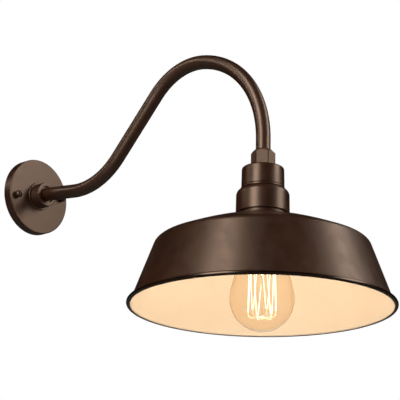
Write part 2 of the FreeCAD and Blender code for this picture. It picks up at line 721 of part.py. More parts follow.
def trim_ring():
    outer = TRIM_RING_DIAMETER / 2
    ring = turned(
        [
            (SPIGOT_RADIUS + FIT, LOWER_CUP_TOP),
            (outer, LOWER_CUP_TOP, TRIM_RING_EDGE),
            (outer, RING_TOP, TRIM_RING_EDGE),
            (SPIGOT_RADIUS + FIT, RING_TOP),
        ]
    )
    return on_head(ring)


def lower_cup():
    """Cast cup: its spigot screws into the upper cup, and its bosses take the shade's screws."""
    top, foot = LOWER_CUP_DIAMETER / 2, LOWER_CUP_DIAMETER / 2 + CUP_DRAFT
    roof = LOWER_CUP_TOP - CUP_WALL
    inner = SPIGOT_RADIUS - SPIGOT_WALL
    wall = LOWER_CUP_BORE
    cup = turned(
        [
            (inner, roof),
            (inner, RING_TOP + SPIGOT_HEIGHT),
            (SPIGOT_RADIUS, RING_TOP + SPIGOT_HEIGHT),
            (SPIGOT_RADIUS, LOWER_CUP_TOP),
            (top, LOWER_CUP_TOP, LOWER_CUP_SHOULDER),
            (foot, LOWER_CUP_FOOT + FOOT_CHAMFER),
            (foot - FOOT_CHAMFER, LOWER_CUP_FOOT),
            (wall, LOWER_CUP_FOOT),
            (wall, roof, LOWER_CUP_SHOULDER - CUP_WALL),
        ]
    )
    boss_at = SHADE_SCREW_CIRCLE / 2
    corner = Vector(boss_at, -BOSS_WEB / 2, BOSS_FOOT)
    web = Part.makeBox(wall - boss_at + 1, BOSS_WEB, roof - BOSS_FOOT + 1, corner)
    boss = placed(rod(BOSS_DIAMETER / 2, BOSS_FOOT, roof + 1), move=(boss_at, 0, 0)).fuse(web)
    bore = rod(SHADE_SCREW_DIAMETER / 2 + FIT, BOSS_FOOT - 1, FLANGE_TOP + SHADE_SCREW_LENGTH)
    drill = placed(bore, move=(boss_at, 0, 0))
    solid = fused(cup, *around_axis(boss, SHADE_SCREW_COUNT, 90))
    for hole in around_axis(drill, SHADE_SCREW_COUNT, 90):
        solid = solid.cut(hole)
    return on_head(solid)


def head_washer():
    low = HEAD_WASHER_TOP - HEAD_WASHER_THICKNESS
    return on_head(tube(HEAD_WASHER_DIAMETER / 2, NIPPLE_DIAMETER / 2 + FIT, low, HEAD_WASHER_TOP))


def head_locknut():
    low = HEAD_NUT_TOP - HEAD_NUT_THICKNESS
    return on_head(hex_nut(HEAD_NUT_FLATS, NIPPLE_DIAMETER / 2 + FIT, low, HEAD_NUT_TOP))


# ---------------------------------------------------------------- shade
def shade():
    """Spun shade: inward flange, neck, domed crown, shoulder and skirt, with a rolled bead at the rim."""
    neck_foot = LOWER_CUP_FOOT - SHADE_NECK_DOWN
    crest, shoulder = SHADE_BREAK_DIAMETER / 2, SHADE_SHOULDER_DIAMETER / 2
    crest_z = neck_foot - (crest - SHADE_NECK_RADIUS) * math.tan(math.radians(SHADE_INNER_SLOPE))
    shoulder_z = crest_z - (shoulder - crest) * math.tan(math.radians(SHADE_OUTER_SLOPE))
    bead = SHADE_BEAD_DIAMETER / 2
    bead_at = SHADE_DIAMETER / 2 - bead
    bead_z = shoulder_z - SHADE_SKIRT_HEIGHT
    skin = [
        (SHADE_FLANGE_HOLE / 2, FLANGE_TOP),
        (SHADE_NECK_RADIUS, FLANGE_TOP, SHADE_FLANGE_CORNER),
        (SHADE_NECK_RADIUS, neck_foot, SHADE_NECK_FLARE),
        (crest, crest_z, SHADE_CROWN_RADIUS),
        (shoulder, shoulder_z, SHADE_SHOULDER_RADIUS),
        (bead_at - bead + SHADE_BEAD_GRIP, bead_z),
    ]
    roll = Part.makeTorus(bead_at, bead, Vector(0, 0, bead_z))
    solid = fused(turned_sheet(skin, SHADE_SHEET), roll)
    radius = SHADE_SCREW_DIAMETER / 2 + SHADE_SCREW_CLEARANCE
    drill = rod(radius, FLANGE_TOP - SHADE_SHEET - 1, FLANGE_TOP + 1)
    hole = placed(drill, move=(SHADE_SCREW_CIRCLE / 2, 0, 0))
    for cutter in around_axis(hole, SHADE_SCREW_COUNT, 90):
        solid = solid.cut(cutter)
    return on_head(solid)


def shade_gasket():
    outer = SHADE_NECK_RADIUS - SHADE_GASKET_INSET
    ring = tube(outer, SHADE_FLANGE_HOLE / 2, FLANGE_TOP, BOSS_FOOT)
    drill = rod(SHADE_SCREW_DIAMETER / 2 + FIT, FLANGE_TOP - 1, BOSS_FOOT + 1)
    hole = placed(drill, move=(SHADE_SCREW_CIRCLE / 2, 0, 0))
    for cutter in around_axis(hole, SHADE_SCREW_COUNT, 90):
        ring = ring.cut(cutter)
    return on_head(ring)


def shade_screws():
    """Pan-head screws up through the shade's flange into the lower cup."""
    length = SHADE_SCREW_LENGTH + SHADE_SHEET - SHADE_SCREW_SHORT
    screw = pan_screw(SHADE_SCREW_DIAMETER, SHADE_SCREW_HEAD, SHADE_SCREW_HEAD_HEIGHT, length)
    screw = placed(screw, turn=180, axis=(1, 0, 0))
    screw = placed(screw, move=(SHADE_SCREW_CIRCLE / 2, 0, FLANGE_TOP - SHADE_SHEET))
    return group([on_head(s) for s in around_axis(screw, SHADE_SCREW_COUNT, 90)])


# ---------------------------------------------------------------- lamp socket
def socket_bracket():
    """Bent strap under the upper cup that carries the socket on two feet."""
    half, width, thick = BRACKET_SPAN / 2, BRACKET_WIDTH, BRACKET_THICKNESS
    foot_low = -SOCKET_TOP
    roof_low = BRACKET_TOP - thick
    roof = Part.makeBox(width, 2 * half, thick, Vector(-width / 2, -half, roof_low))
    leg = Part.makeBox(width, thick, BRACKET_TOP - foot_low, Vector(-width / 2, half - thick, foot_low))
    foot = Part.makeBox(width, BRACKET_FOOT, thick, Vector(-width / 2, half - BRACKET_FOOT, foot_low))
    strap = fused(roof, *[placed(s, turn=t) for s in (leg, foot) for t in (0, 180)])
    strap = strap.cut(rod(NIPPLE_DIAMETER / 2 + FIT, roof_low - 1, BRACKET_TOP + 1))
    drill = rod(SOCKET_SCREW_DIAMETER / 2 + FIT, foot_low - 1, foot_low + thick + 1)
    hole = placed(drill, move=(0, socket_screw_at(), 0))
    for turn in (0, 180):
        strap = strap.cut(placed(hole, turn=turn))
    return on_head(strap)


def socket_screw_at():
    """Distance of the bracket's screws from the lamp axis."""
    return BRACKET_SPAN / 2 - BRACKET_THICKNESS - SOCKET_SCREW_HEAD / 2 - BRACKET_HEAD_GAP


def socket_screws():
    """The bracket's two screws; the one on the wall side also clamps the earth lead."""
    screws = []
    for side, packing in ((1, LEAD_DIAMETER), (-1, 0)):
        length = SCREW_DEPTH + BRACKET_THICKNESS + packing
        screw = pan_screw(SOCKET_SCREW_DIAMETER, SOCKET_SCREW_HEAD, SOCKET_SCREW_HEAD_HEIGHT, length)
        screws.append(on_head(placed(screw, move=(0, side * socket_screw_at(), BRACKET_FOOT_TOP + packing))))
    return group(screws)


def socket_body():
    """Porcelain body, open below for the screw shell, with tapped holes in its top."""
    radius = SOCKET_DIAMETER / 2
    well = SOCKET_FOOT + SHELL_DEPTH
    cavity = SHELL_RADIUS + SHELL_WALL + FIT
    floor = TIP_TOP + CONTACT_THICKNESS
    body = turned(
        [
            (0, -SOCKET_TOP),
            (radius - SOCKET_CROWN_INSET, -SOCKET_TOP, SOCKET_EDGE),
            (radius, -SOCKET_TOP - SOCKET_CROWN_HEIGHT, SOCKET_SHOULDER),
            (radius, SOCKET_FOOT, SOCKET_EDGE),
            (cavity, SOCKET_FOOT),
            (cavity, well),
            (CONTACT_DIAMETER / 2 + CONTACT_WELL_GAP, well),
            (CONTACT_DIAMETER / 2 + CONTACT_WELL_GAP, floor),
            (0, floor),
        ]
    )
    low, high = -SOCKET_TOP - SCREW_DEPTH - HOLE_SPARE, -SOCKET_TOP + 1
    bracket_hole = placed(rod(SOCKET_SCREW_DIAMETER / 2 + FIT, low, high), move=(0, socket_screw_at(), 0))
    lead_drill = rod(TERMINAL_SCREW_DIAMETER / 2 + FIT, low, high)
    lead_hole = placed(lead_drill, move=(TERMINAL_SCREW_SPACING / 2, 0, 0))
    for hole in (bracket_hole, lead_hole):
        for turn in (0, 180):
            body = body.cut(placed(hole, turn=turn))
    return on_head(body)


def socket_shell():
    """Screw shell pressed in the porcelain, with its rolled mouth."""
    high = SOCKET_FOOT + SHELL_DEPTH
    return on_head(tube(SHELL_RADIUS + SHELL_WALL, SHELL_RADIUS, SOCKET_FOOT + SHELL_LIP, high))


def socket_contact():
    """Centre contact at the bottom of the well, which the lamp's tip meets."""
    disc = turned(
        [
            (0, TIP_TOP + RUN),
            (CONTACT_DIAMETER / 2, TIP_TOP + RUN),
            (CONTACT_DIAMETER / 2, TIP_TOP + CONTACT_THICKNESS),
            (0, TIP_TOP + CONTACT_THICKNESS),
        ]
    )
    return on_head(disc)


def terminal_screws():
    """Lead screws in the porcelain's top, one on each side."""
    length = SCREW_DEPTH + LEAD_DIAMETER
    screw = pan_screw(TERMINAL_SCREW_DIAMETER, TERMINAL_SCREW_HEAD, TERMINAL_SCREW_HEAD_HEIGHT, length)
    screw = placed(screw, move=(TERMINAL_SCREW_SPACING / 2, 0, -SOCKET_TOP + LEAD_DIAMETER))
    return group([on_head(s) for s in around_axis(screw, 2)])


# ---------------------------------------------------------------- lamp
def lamp_base():
    """Screw cap of the lamp."""
    outer, seat = LAMP_BASE_DIAMETER / 2, LAMP_TIP_DIAMETER / 2 + LAMP_INSULATOR_MARGIN
    cap = turned(
        [
            (LAMP_BASE_BORE / 2, GLASS_TOP),
            (outer, GLASS_TOP),
            (outer, BASE_TOP - LAMP_BASE_BEVEL),
            (outer - LAMP_BASE_BEVEL, BASE_TOP),
            (seat, BASE_TOP),
            (seat, BASE_TOP - LAMP_BASE_ROOF),
            (LAMP_BASE_BORE / 2, BASE_TOP - LAMP_BASE_ROOF),
        ]
    )
    return on_head(cap)


def lamp_insulator():
    """Black glass cone between the screw cap and the tip."""
    foot = LAMP_TIP_DIAMETER / 2 + LAMP_INSULATOR_MARGIN
    cone = turned(
        [
            (0, BASE_TOP - LAMP_INSULATOR_SEAT),
            (foot - FIT, BASE_TOP - LAMP_INSULATOR_SEAT),
            (foot - FIT, BASE_TOP),
            (LAMP_TIP_DIAMETER / 2, BASE_TOP + LAMP_INSULATOR_HEIGHT),
            (0, BASE_TOP + LAMP_INSULATOR_HEIGHT),
        ]
    )
    return on_head(cone)


def lamp_tip():
    """Solder contact of the lamp."""
    foot, radius = BASE_TOP + LAMP_INSULATOR_HEIGHT, LAMP_TIP_DIAMETER / 2
    return on_head(turned([(0, foot), (radius, foot), (radius, TIP_TOP, LAMP_TIP_EDGE), (0, TIP_TOP)]))


def bulb_outline(inset):
    """Half outline of the glass, top to foot, moved inwards by inset: seal, neck, flank and bowl."""
    neck, seal = LAMP_NECK_DIAMETER / 2 - inset, LAMP_BASE_BORE / 2 - FIT - inset
    bowl, flank = LAMP_BOWL_DIAMETER / 2 - inset, LAMP_FLANK_RADIUS - inset
    start = math.radians(LAMP_FLANK_START)
    centre_z = GLASS_TOP - LAMP_LENGTH + LAMP_BOWL_DIAMETER / 2
    offset = flank - bowl
    across = neck + offset * math.cos(start)
    above = GLASS_TOP - LAMP_NECK_LENGTH - centre_z + offset * math.sin(start)
    curve = (across**2 + above**2 - flank**2) / (2 * (flank - across))
    end = math.atan2(above, across + curve)

    def on_flank(angle):
        height = centre_z + flank * math.sin(angle) - offset * math.sin(start)
        return Vector(flank * math.cos(angle) - offset * math.cos(start), 0, height)

    def on_bowl(angle):
        return Vector(bowl * math.cos(angle), 0, centre_z + bowl * math.sin(angle))

    joint = on_flank(end)

    def on_curve(angle):
        height = joint.z + curve * (math.sin(end) - math.sin(angle))
        return Vector(neck + curve * (1 - math.cos(angle)), 0, height)

    foot = Vector(0, 0, centre_z - bowl)
    shoulder = Vector(neck, 0, GLASS_TOP - LAMP_SEAL_SHOULDER)
    throat = Vector(seal, 0, GLASS_TOP)
    top = Vector(seal, 0, GLASS_TOP + LAMP_SEAL_DEPTH)
    return [
        Part.LineSegment(top, throat).toShape(),
        Part.LineSegment(throat, shoulder).toShape(),
        Part.LineSegment(shoulder, on_curve(0)).toShape(),
        Part.Arc(on_curve(0), on_curve(end / 2), joint).toShape(),
        Part.Arc(joint, on_flank((start + end) / 2), on_bowl(start)).toShape(),
        Part.Arc(on_bowl(start), on_bowl(start / 2 - math.pi / 4), foot).toShape(),
    ]


def bulb_solid(inset):
    edges = bulb_outline(inset)
    top = edges[0].valueAt(edges[0].FirstParameter)
    foot = Vector(0, 0, GLASS_TOP - LAMP_LENGTH + inset)
    centre = Vector(0, 0, top.z)
    edges += [Part.LineSegment(foot, centre).toShape(), Part.LineSegment(centre, top).toShape()]
    return Part.Face(Part.Wire(edges)).revolve(Vector(0, 0, 0), Vector(0, 0, 1), 360)


def lamp_glass():
    """Clear blown envelope with a real wall, drawn in at the top to fit the screw cap."""
    return on_head(bulb_solid(0.0).cut(bulb_solid(LAMP_GLASS)))


def lamp_stem():
    """Glass stem: a flare sealed in the neck, a tube and a rod down to the lower spider."""
    rim = LAMP_NECK_DIAMETER / 2 - LAMP_GLASS - FIT
    stem = turned(
        [
            (0, STEM_TOP),
            (rim, STEM_TOP),
            (rim, STEM_TOP - STEM_RIM),
            (STEM_DIAMETER / 2, STEM_TOP - STEM_FLARE_HEIGHT, STEM_CURVE),
            (STEM_DIAMETER / 2, STEM_FOOT + STEM_PINCH_HEIGHT, STEM_CURVE),
            (ROD_DIAMETER / 2, STEM_FOOT, ROD_CURVE),
            (ROD_DIAMETER / 2, GLASS_TOP - CAGE_FOOT - HUB_DROP),
            (0, GLASS_TOP - CAGE_FOOT - HUB_DROP),
        ]
    )
    return on_head(stem)


def strand_end(index, level):
    """Where strand ends meet the hooks; level is top or foot."""
    top = level == "top"
    radius = LAMP_BOWL_DIAMETER / 2 - LAMP_GLASS - (CAGE_TOP_GAP if top else CAGE_FOOT_GAP)
    angle = math.radians(360.0 * index / CAGE_STRANDS)
    height = GLASS_TOP - (CAGE_TOP if top else CAGE_FOOT)
    return Vector(radius * math.cos(angle), radius * math.sin(angle), height)


def bar(start, end, diameter):
    return Part.makeCylinder(diameter / 2, (end - start).Length, start, end - start)


def lamp_filament():
    """Squirrel cage: one wire that zigzags between the upper and the lower hooks."""
    strands = []
    for i in range(CAGE_STRANDS):
        upper = strand_end(i + (1 - i % 2) - HOOK_SHARE * (1 if i % 2 == 0 else -1), "top")
        lower = strand_end(i + i % 2 + HOOK_SHARE * (1 if i % 2 == 0 else -1), "foot")
        strands.append(on_head(bar(upper, lower, FILAMENT_DIAMETER)))
    return group(strands)


def spider(level, count, offset):
    """Hub on the stem's rod with one bent wire out to each hook."""
    drop = -HUB_DROP if level == "foot" else HUB_DROP
    height = strand_end(0, level).z + drop
    low, high = height - HUB_HEIGHT / 2, height + HUB_HEIGHT / 2
    inner, outer = ROD_DIAMETER / 2 + FIT, HUB_DIAMETER / 2
    hub = turned([(inner, low), (outer, low, HUB_EDGE), (outer, high, HUB_EDGE), (inner, high)])
    wires = []
    for i in range(count):
        tip = strand_end(offset + i * CAGE_STRANDS / count, level)
        out = unit((tip.x, tip.y, 0))
        root = out * (outer - HOOK_ROOT) + Vector(0, 0, height)
        knee = Vector(tip.x, tip.y, height)
        wires.append(swept(rounded_edges([root, knee, tip], [0, HOOK_BEND, 0]), HOOK_DIAMETER / 2))
    return on_head(fused(hub, *wires))


def lamp_upper_spider():
    return spider("top", CAGE_STRANDS // 2, 1.0)


def lamp_lower_spider():
    return spider("foot", CAGE_STRANDS // 2, 0.0)


def lamp_lead_wires():
    """Wires from the stem's pinch to the two free ends of the cage."""
    wires = []
    beside = STEM_DIAMETER / 2 + HOOK_DIAMETER / 2 + FIT
    for side in (0, CAGE_STRANDS // 2):
        end = strand_end(side + HOOK_SHARE, "top")
        root = unit((end.x, end.y, 0)) * beside + Vector(0, 0, STEM_FOOT + LEAD_WIRE_ROOT)
        knee = Vector(end.x * LEAD_WIRE_KNEE, end.y * LEAD_WIRE_KNEE, end.z + LEAD_WIRE_RISE)
        route = rounded_edges([root, knee, end], [0, LEAD_WIRE_BEND, 0])
        wires.append(on_head(swept(route, HOOK_DIAMETER / 2)))
    return group(wires)


# ---------------------------------------------------------------- leads
def wire_nuts():
    """Hollow twist-on connectors lying flat in the canopy, mouths down."""
    outer, tip, end = WIRE_NUT_DIAMETER / 2, WIRE_NUT_TIP_DIAMETER / 2, WIRE_NUT_LENGTH - WIRE_NUT_CAP
    shell = turned(
        [
            (outer - WIRE_NUT_WALL, 0),
            (outer, 0, WIRE_NUT_LIP),
            (outer, WIRE_NUT_SKIRT),
            (tip, WIRE_NUT_LENGTH, WIRE_NUT_CROWN),
            (0, WIRE_NUT_LENGTH),
            (0, end),
            (tip - WIRE_NUT_WALL, end),
            (outer - WIRE_NUT_WALL, WIRE_NUT_SKIRT),
        ]
    )
    places = [(side * WIRE_NUT_OFFSET, -LEAD_DEPTH_AT_NUT, WIRE_NUT_HEIGHT) for side in (-1, 1)]
    return group([placed(shell, move=place) for place in places])


def lead(side):
    """Lead from the canopy through the arm and the nipple to its screw; side is -1, 0 or 1.

    The two line leads start in the wire nuts and end under the socket's terminal screws. The earth
    lead, in the middle, starts in the ring terminal and ends under a screw of the socket bracket.
    """
    x = side * LEAD_SPACING
    if side:
        nut_x, out = side * WIRE_NUT_OFFSET, Vector(side, 0, 0)
        depth, low = LEAD_DEPTH_AT_NUT, HEAD_TOP - SOCKET_TOP + LEAD_DIAMETER / 2
        begin = [
            Vector(nut_x, -depth, WIRE_NUT_HEIGHT + LEAD_IN_NUT),
            Vector(nut_x, -depth, WIRE_NUT_HEIGHT * LEAD_TURN_SHARE),
            Vector(x, -depth, 0),
        ]
        bends = [0, LEAD_BEND * 2, LEAD_BEND]
        run = TERMINAL_SCREW_SPACING / 2 - LEAD_SPACING - TERMINAL_SCREW_DIAMETER / 2 - FIT
    else:
        out, low = Vector(0, 1, 0), HEAD_TOP + BRACKET_FOOT_TOP + LEAD_DIAMETER / 2
        barrel = -GROUND_SCREW_DROP + TERMINAL_DIAMETER / 2 + TERMINAL_BARREL_START
        begin = [Vector(0, -LEAD_DEPTH, barrel + 1), Vector(0, -LEAD_DEPTH, 0)]
        bends = [0, LEAD_BEND]
        run = socket_screw_at() - SOCKET_SCREW_DIAMETER / 2 - FIT
    entry = Vector(x, -LEAD_ENTRY, 0)
    corner = Vector(x, -REACH, low)
    head = rounded_edges(begin + [entry], bends + [0])
    above = corner + Vector(0, 0, 2 * LEAD_BEND)
    tail = rounded_edges([above, corner, corner + out * run], [0, LEAD_BEND, 0])
    middle = arm_edges(x, first=LEAD_ENTRY, last=low + 2 * LEAD_BEND)
    return swept(head + middle + tail, LEAD_DIAMETER / 2)


PIECES = {
    "wall_gasket": wall_gasket,
    "mounting_plate": mounting_plate,
    "canopy_studs": canopy_studs,
    "cap_nuts": cap_nuts,
    "canopy": canopy,
    "ground_terminal": ground_terminal,
    "ground_screw": ground_screw,
    "wire_nuts": wire_nuts,
    "collar_washer": collar_washer,
    "collar": collar,
    "collar_set_screw": collar_set_screw,
    "arm_washer": arm_washer,
    "arm_locknut": arm_locknut,
    "gooseneck_arm": gooseneck_arm,
    "hex_coupling": hex_coupling,
    "head_nipple": head_nipple,
    "upper_cup": upper_cup,
    "trim_ring": trim_ring,
    "lower_cup": lower_cup,
    "head_washer": head_washer,
    "head_locknut": head_locknut,
    "shade": shade,
    "shade_gasket": shade_gasket,
    "shade_screws": shade_screws,
    "socket_bracket": socket_bracket,
    "socket_screws": socket_screws,
    "socket_body": socket_body,
    "socket_shell": socket_shell,
    "socket_contact": socket_contact,
    "terminal_screws": terminal_screws,
    "lamp_base": lamp_base,
    "lamp_insulator": lamp_insulator,
    "lamp_tip": lamp_tip,
    "lamp_glass": lamp_glass,
    "lamp_stem": lamp_stem,
    "lamp_upper_spider": lamp_upper_spider,
    "lamp_lower_spider": lamp_lower_spider,
    "lamp_filament": lamp_filament,
    "lamp_lead_wires": lamp_lead_wires,
    "black_lead": lambda: lead(-1),
    "white_lead": lambda: lead(1),
    "earth_lead": lambda: lead(0),
}

os.makedirs("parts", exist_ok=True)
for name, make in PIECES.items():
    make().exportStep(os.path.join("parts", name + ".step"))
print(f"reach {REACH:.2f} mm, top of the upper cup at {HEAD_TOP:.2f} mm")
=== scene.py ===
import math

import bmesh
import bpy
from mathutils import Matrix, Vector


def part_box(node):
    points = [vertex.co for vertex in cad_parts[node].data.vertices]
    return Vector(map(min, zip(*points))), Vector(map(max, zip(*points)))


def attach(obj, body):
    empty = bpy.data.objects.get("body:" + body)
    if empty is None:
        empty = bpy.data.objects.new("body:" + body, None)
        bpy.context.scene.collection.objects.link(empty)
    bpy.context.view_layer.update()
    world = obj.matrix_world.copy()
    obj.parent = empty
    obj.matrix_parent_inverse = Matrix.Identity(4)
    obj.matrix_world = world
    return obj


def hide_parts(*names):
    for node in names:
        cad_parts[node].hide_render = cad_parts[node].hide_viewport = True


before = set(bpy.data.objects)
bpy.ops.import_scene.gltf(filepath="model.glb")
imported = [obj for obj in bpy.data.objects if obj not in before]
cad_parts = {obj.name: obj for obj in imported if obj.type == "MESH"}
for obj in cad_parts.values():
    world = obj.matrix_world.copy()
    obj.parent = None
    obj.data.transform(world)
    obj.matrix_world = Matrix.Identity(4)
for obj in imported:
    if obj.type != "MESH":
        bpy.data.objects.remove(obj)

for name in ("Cube", "Light", "Camera"):
    if name in bpy.data.objects:
        bpy.data.objects.remove(bpy.data.objects[name])

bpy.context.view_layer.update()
MM = 0.001  # a millimetre, in the frame's metres

low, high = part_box("upper_cup")
HEAD = Vector((0.0, (low.y + high.y) / 2, high.z))  # on the lamp axis, at the upper cup's top face


def heights(node):
    """Foot and top of a node, in millimetres above the upper cup's top face."""
    low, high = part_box(node)
    return (low.z - HEAD.z) / MM, (high.z - HEAD.z) / MM


# ---------------------------------------------------------------- camera
CAMERA_AZIMUTH, CAMERA_ELEVATION, CAMERA_ROLL = -46.93, -16.97, 1.05  # degrees
CAMERA_PLACE = Vector((-1.68486, -1.92423, -0.77408))
CAMERA_LENS, CAMERA_SENSOR = 157.5, 36.0  # focal length and sensor width, millimetres
CAMERA_REACH = 50.0


def add_camera():
    """The photo's camera, as solved from the outlines in it."""
    azimuth, elevation = math.radians(CAMERA_AZIMUTH), math.radians(CAMERA_ELEVATION)
    roll = math.radians(CAMERA_ROLL)
    level = math.cos(elevation)
    back = Vector((math.sin(azimuth) * level, -math.cos(azimuth) * level, math.sin(elevation)))
    right = Vector((math.cos(azimuth), math.sin(azimuth), 0))
    up = back.cross(right)
    turned_right = right * math.cos(roll) + up * math.sin(roll)
    turned_up = up * math.cos(roll) - right * math.sin(roll)
    data = bpy.data.cameras.new("camera")
    data.lens = CAMERA_LENS
    data.sensor_width = CAMERA_SENSOR
    data.clip_end = CAMERA_REACH
    camera = bpy.data.objects.new("camera", data)
    bpy.context.scene.collection.objects.link(camera)
    turn = Matrix((turned_right, turned_up, back)).transposed().to_4x4()
    camera.matrix_world = Matrix.Translation(CAMERA_PLACE) @ turn
    bpy.context.scene.camera = camera


add_camera()


# ---------------------------------------------------------------- node helpers
def srgb(red, green, blue):
    """Linear colour of an 8-bit sRGB one."""
    out = []
    for value in (red, green, blue):
        value /= 255.0
        out.append(value / 12.92 if value <= 0.04045 else ((value + 0.055) / 1.055) ** 2.4)
    return (*out, 1.0)


class Nodes:
    """Short calls that add and join nodes in one node tree."""

    def __init__(self, tree):
        self.tree = tree

    def node(self, kind, **values):
        made = self.tree.nodes.new("ShaderNode" + kind)
        for key, value in values.items():
            setattr(made, key, value)
        return made

    def link(self, source, target):
        self.tree.links.new(source, target)

    def math(self, operation, first, second=None):
        """Result of a math node on one socket, or on a socket and a second socket or number."""
        made = self.node("Math", operation=operation)
        self.link(first, made.inputs[0])
        if isinstance(second, float):
            made.inputs[1].default_value = second
        elif second is not None:
            self.link(second, made.inputs[1])
        return made.outputs[0]

    def either_ray(self, first, second):
        """1 for rays of either of two kinds, and 0 for all others."""
        path = self.node("LightPath").outputs
        return self.math("MAXIMUM", path["Is %s Ray" % first], path["Is %s Ray" % second])

    def mix(self, factor, first, second):
        """The first shader where the factor is 0 and the second where it is 1."""
        made = self.node("MixShader")
        for source, target in zip((factor, first, second), made.inputs):
            self.link(source, target)
        return made.outputs[0]


class Shader(Nodes):
    """A material with one Principled shader, and short calls for the textures that feed it."""

    def __init__(self, name, **sockets):
        self.material = bpy.data.materials.new(name)
        self.material.use_nodes = True
        super().__init__(self.material.node_tree)
        self.bsdf = self.tree.nodes["Principled BSDF"]
        self.out = self.tree.nodes["Material Output"]
        for socket, value in sockets.items():
            self.bsdf.inputs[socket.replace("_", " ")].default_value = value

    def set(self, socket, source):
        self.link(source, self.bsdf.inputs[socket])

    def place(self):
        return self.node("TexCoord").outputs["Object"]

    def offsets(self, centre):
        """X, Y and Z of the object position about a centre."""
        offset = self.node("VectorMath", operation="SUBTRACT")
        self.link(self.place(), offset.inputs[0])
        offset.inputs[1].default_value = centre
        parts = self.node("SeparateXYZ")
        self.link(offset.outputs["Vector"], parts.inputs[0])
        return list(parts.outputs)

    def rings(self, centre, axis):
        """(radius, height) about an axis, as a vector: the same all the way round."""
        across = self.offsets(centre)
        height = across.pop(axis)
        flat = self.node("CombineXYZ")
        self.link(across[0], flat.inputs["X"])
        self.link(across[1], flat.inputs["Y"])
        radius = self.node("VectorMath", operation="LENGTH")
        self.link(flat.outputs[0], radius.inputs[0])
        both = self.node("CombineXYZ")
        self.link(radius.outputs["Value"], both.inputs["X"])
        self.link(height, both.inputs["Y"])
        return both.outputs[0]

    def noise(self, scale, detail=4.0, vector=None):
        """Cloudy noise over the object position or another vector; scale is per metre."""
        made = self.node("TexNoise")
        made.inputs["Scale"].default_value = scale
        made.inputs["Detail"].default_value = detail
        made.inputs["Roughness"].default_value = 0.55
        self.link(vector or self.place(), made.inputs["Vector"])
        return made.outputs["Fac"]

    def ramp(self, factor, *stops):
        """Colour by (position, colour) stops."""
        made = self.node("ValToRGB")
        elements = made.color_ramp.elements
        while len(elements) < len(stops):
            elements.new(0.5)
        for element, (position, colour) in zip(elements, stops):
            element.position = position
            element.color = colour
        self.link(factor, made.inputs["Fac"])
        return made.outputs["Color"]

    def span(self, factor, low_out, high_out, low_in=0.3, high_in=0.7):
        """The factor carried from one range to another; 0.3 to 0.7 holds nearly all of a noise."""
        made = self.node("MapRange")
        made.inputs["From Min"].default_value = low_in
        made.inputs["From Max"].default_value = high_in
        made.inputs["To Min"].default_value = low_out
        made.inputs["To Max"].default_value = high_out
        self.link(factor, made.inputs["Value"])
        return made.outputs["Result"]

    def bump(self, height, distance, strength, below=None):
        """Normal roughened by a height of some millimetres, over another normal where one is given."""
        made = self.node("Bump")
        made.inputs["Distance"].default_value = distance * MM
        made.inputs["Strength"].default_value = strength
        self.link(height, made.inputs["Height"])
        if below is not None:
            self.link(below, made.inputs["Normal"])
        return made.outputs["Normal"]


# ---------------------------------------------------------------- materials
BRONZE_TONES = (srgb(38, 16, 4), srgb(45, 20, 6), srgb(52, 25, 9))  # dark, middle and pale
CAST_TONES = (srgb(44, 24, 13), srgb(50, 29, 17), srgb(58, 35, 22))
# Painted shade: the bead's bronze is darkened nearly to black, for the shade on its underside.
BEAD_SHADE_TONES = (srgb(16, 6, 1), srgb(20, 8, 2), srgb(25, 11, 4))
BRONZE_SHEEN = (1.0, 0.77, 0.62, 1.0)  # tint of what the paint reflects
WALL_AXIS = ((0, 0, 0), 1)  # a point on the axis that a piece was turned about, and its direction
HEAD_AXIS = (tuple(HEAD), 2)
CORNER_SHADE_FADED, CORNER_SHADE_DARKEST = 3.4, 1.2  # degrees from a hexagon's corner to the ends of its painted shade line
THICK_GLASS = (0.62, 0.4, 0.1, 1.0)  # colour that light takes on through much glass


def bronze(name, axis=None, rough=0.36, ior=1.95, grain=0.3, tones=BRONZE_TONES, uneven=0.05):
    """Satin dark bronze paint; on a turned piece the tool's rings show through faintly."""
    s = Shader(name, Metallic=0.0, IOR=ior, Specular_Tint=BRONZE_SHEEN)
    dark, middle, pale = tones
    s.set("Base Color", s.ramp(s.noise(14.0, 3.0), (0.3, dark), (0.5, middle), (0.72, pale)))
    s.set("Roughness", s.span(s.noise(60.0), rough - uneven, rough + uneven))
    if grain:
        surface = s.bump(s.noise(1100.0, 2.0), 0.02, grain)
        if axis:
            surface = s.bump(s.noise(520.0, 3.0, s.rings(*axis)), 0.04, 0.4, surface)
        s.set("Normal", surface)
    return s


def cast_hexagon(node):
    """Duller bronze paint on a hexagonal node, with painted shade: its reflection is dimmed to a thin dark
    line along each corner between the flats.
    """
    s = bronze("bronze_cast_paint", rough=0.5, ior=2.6, grain=0.5, tones=CAST_TONES)
    spots = [v.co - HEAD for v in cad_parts[node].data.vertices]
    corner = max(spots, key=lambda v: v.x * v.x + v.y * v.y)
    across, along, _ = s.offsets(HEAD)
    turned = s.math("SUBTRACT", s.math("ARCTAN2", along, across), math.atan2(corner.y, corner.x))
    wave = s.math("COSINE", s.math("MULTIPLY", turned, 6.0))
    faded, dark = math.cos(math.radians(6 * CORNER_SHADE_FADED)), math.cos(math.radians(6 * CORNER_SHADE_DARKEST))
    # Painted shade: the reflection drops nearly to nothing along each corner.
    s.set("Specular IOR Level", s.span(wave, 0.5, 0.03, faded, dark))
    return s


def enamel():
    """Warm cream enamel inside the shade, with soft unevenness from spraying."""
    s = Shader("shade_enamel", IOR=1.5, Coat_Weight=0.25, Coat_Roughness=0.2)
    tone = s.noise(9.0, 3.0)
    s.set("Base Color", s.ramp(tone, (0.3, srgb(247, 233, 212)), (0.7, srgb(252, 240, 222))))
    s.set("Roughness", s.span(s.noise(70.0), 0.38, 0.48))
    s.set("Normal", s.bump(s.noise(500.0, 2.0), 0.08, 0.3))
    return s


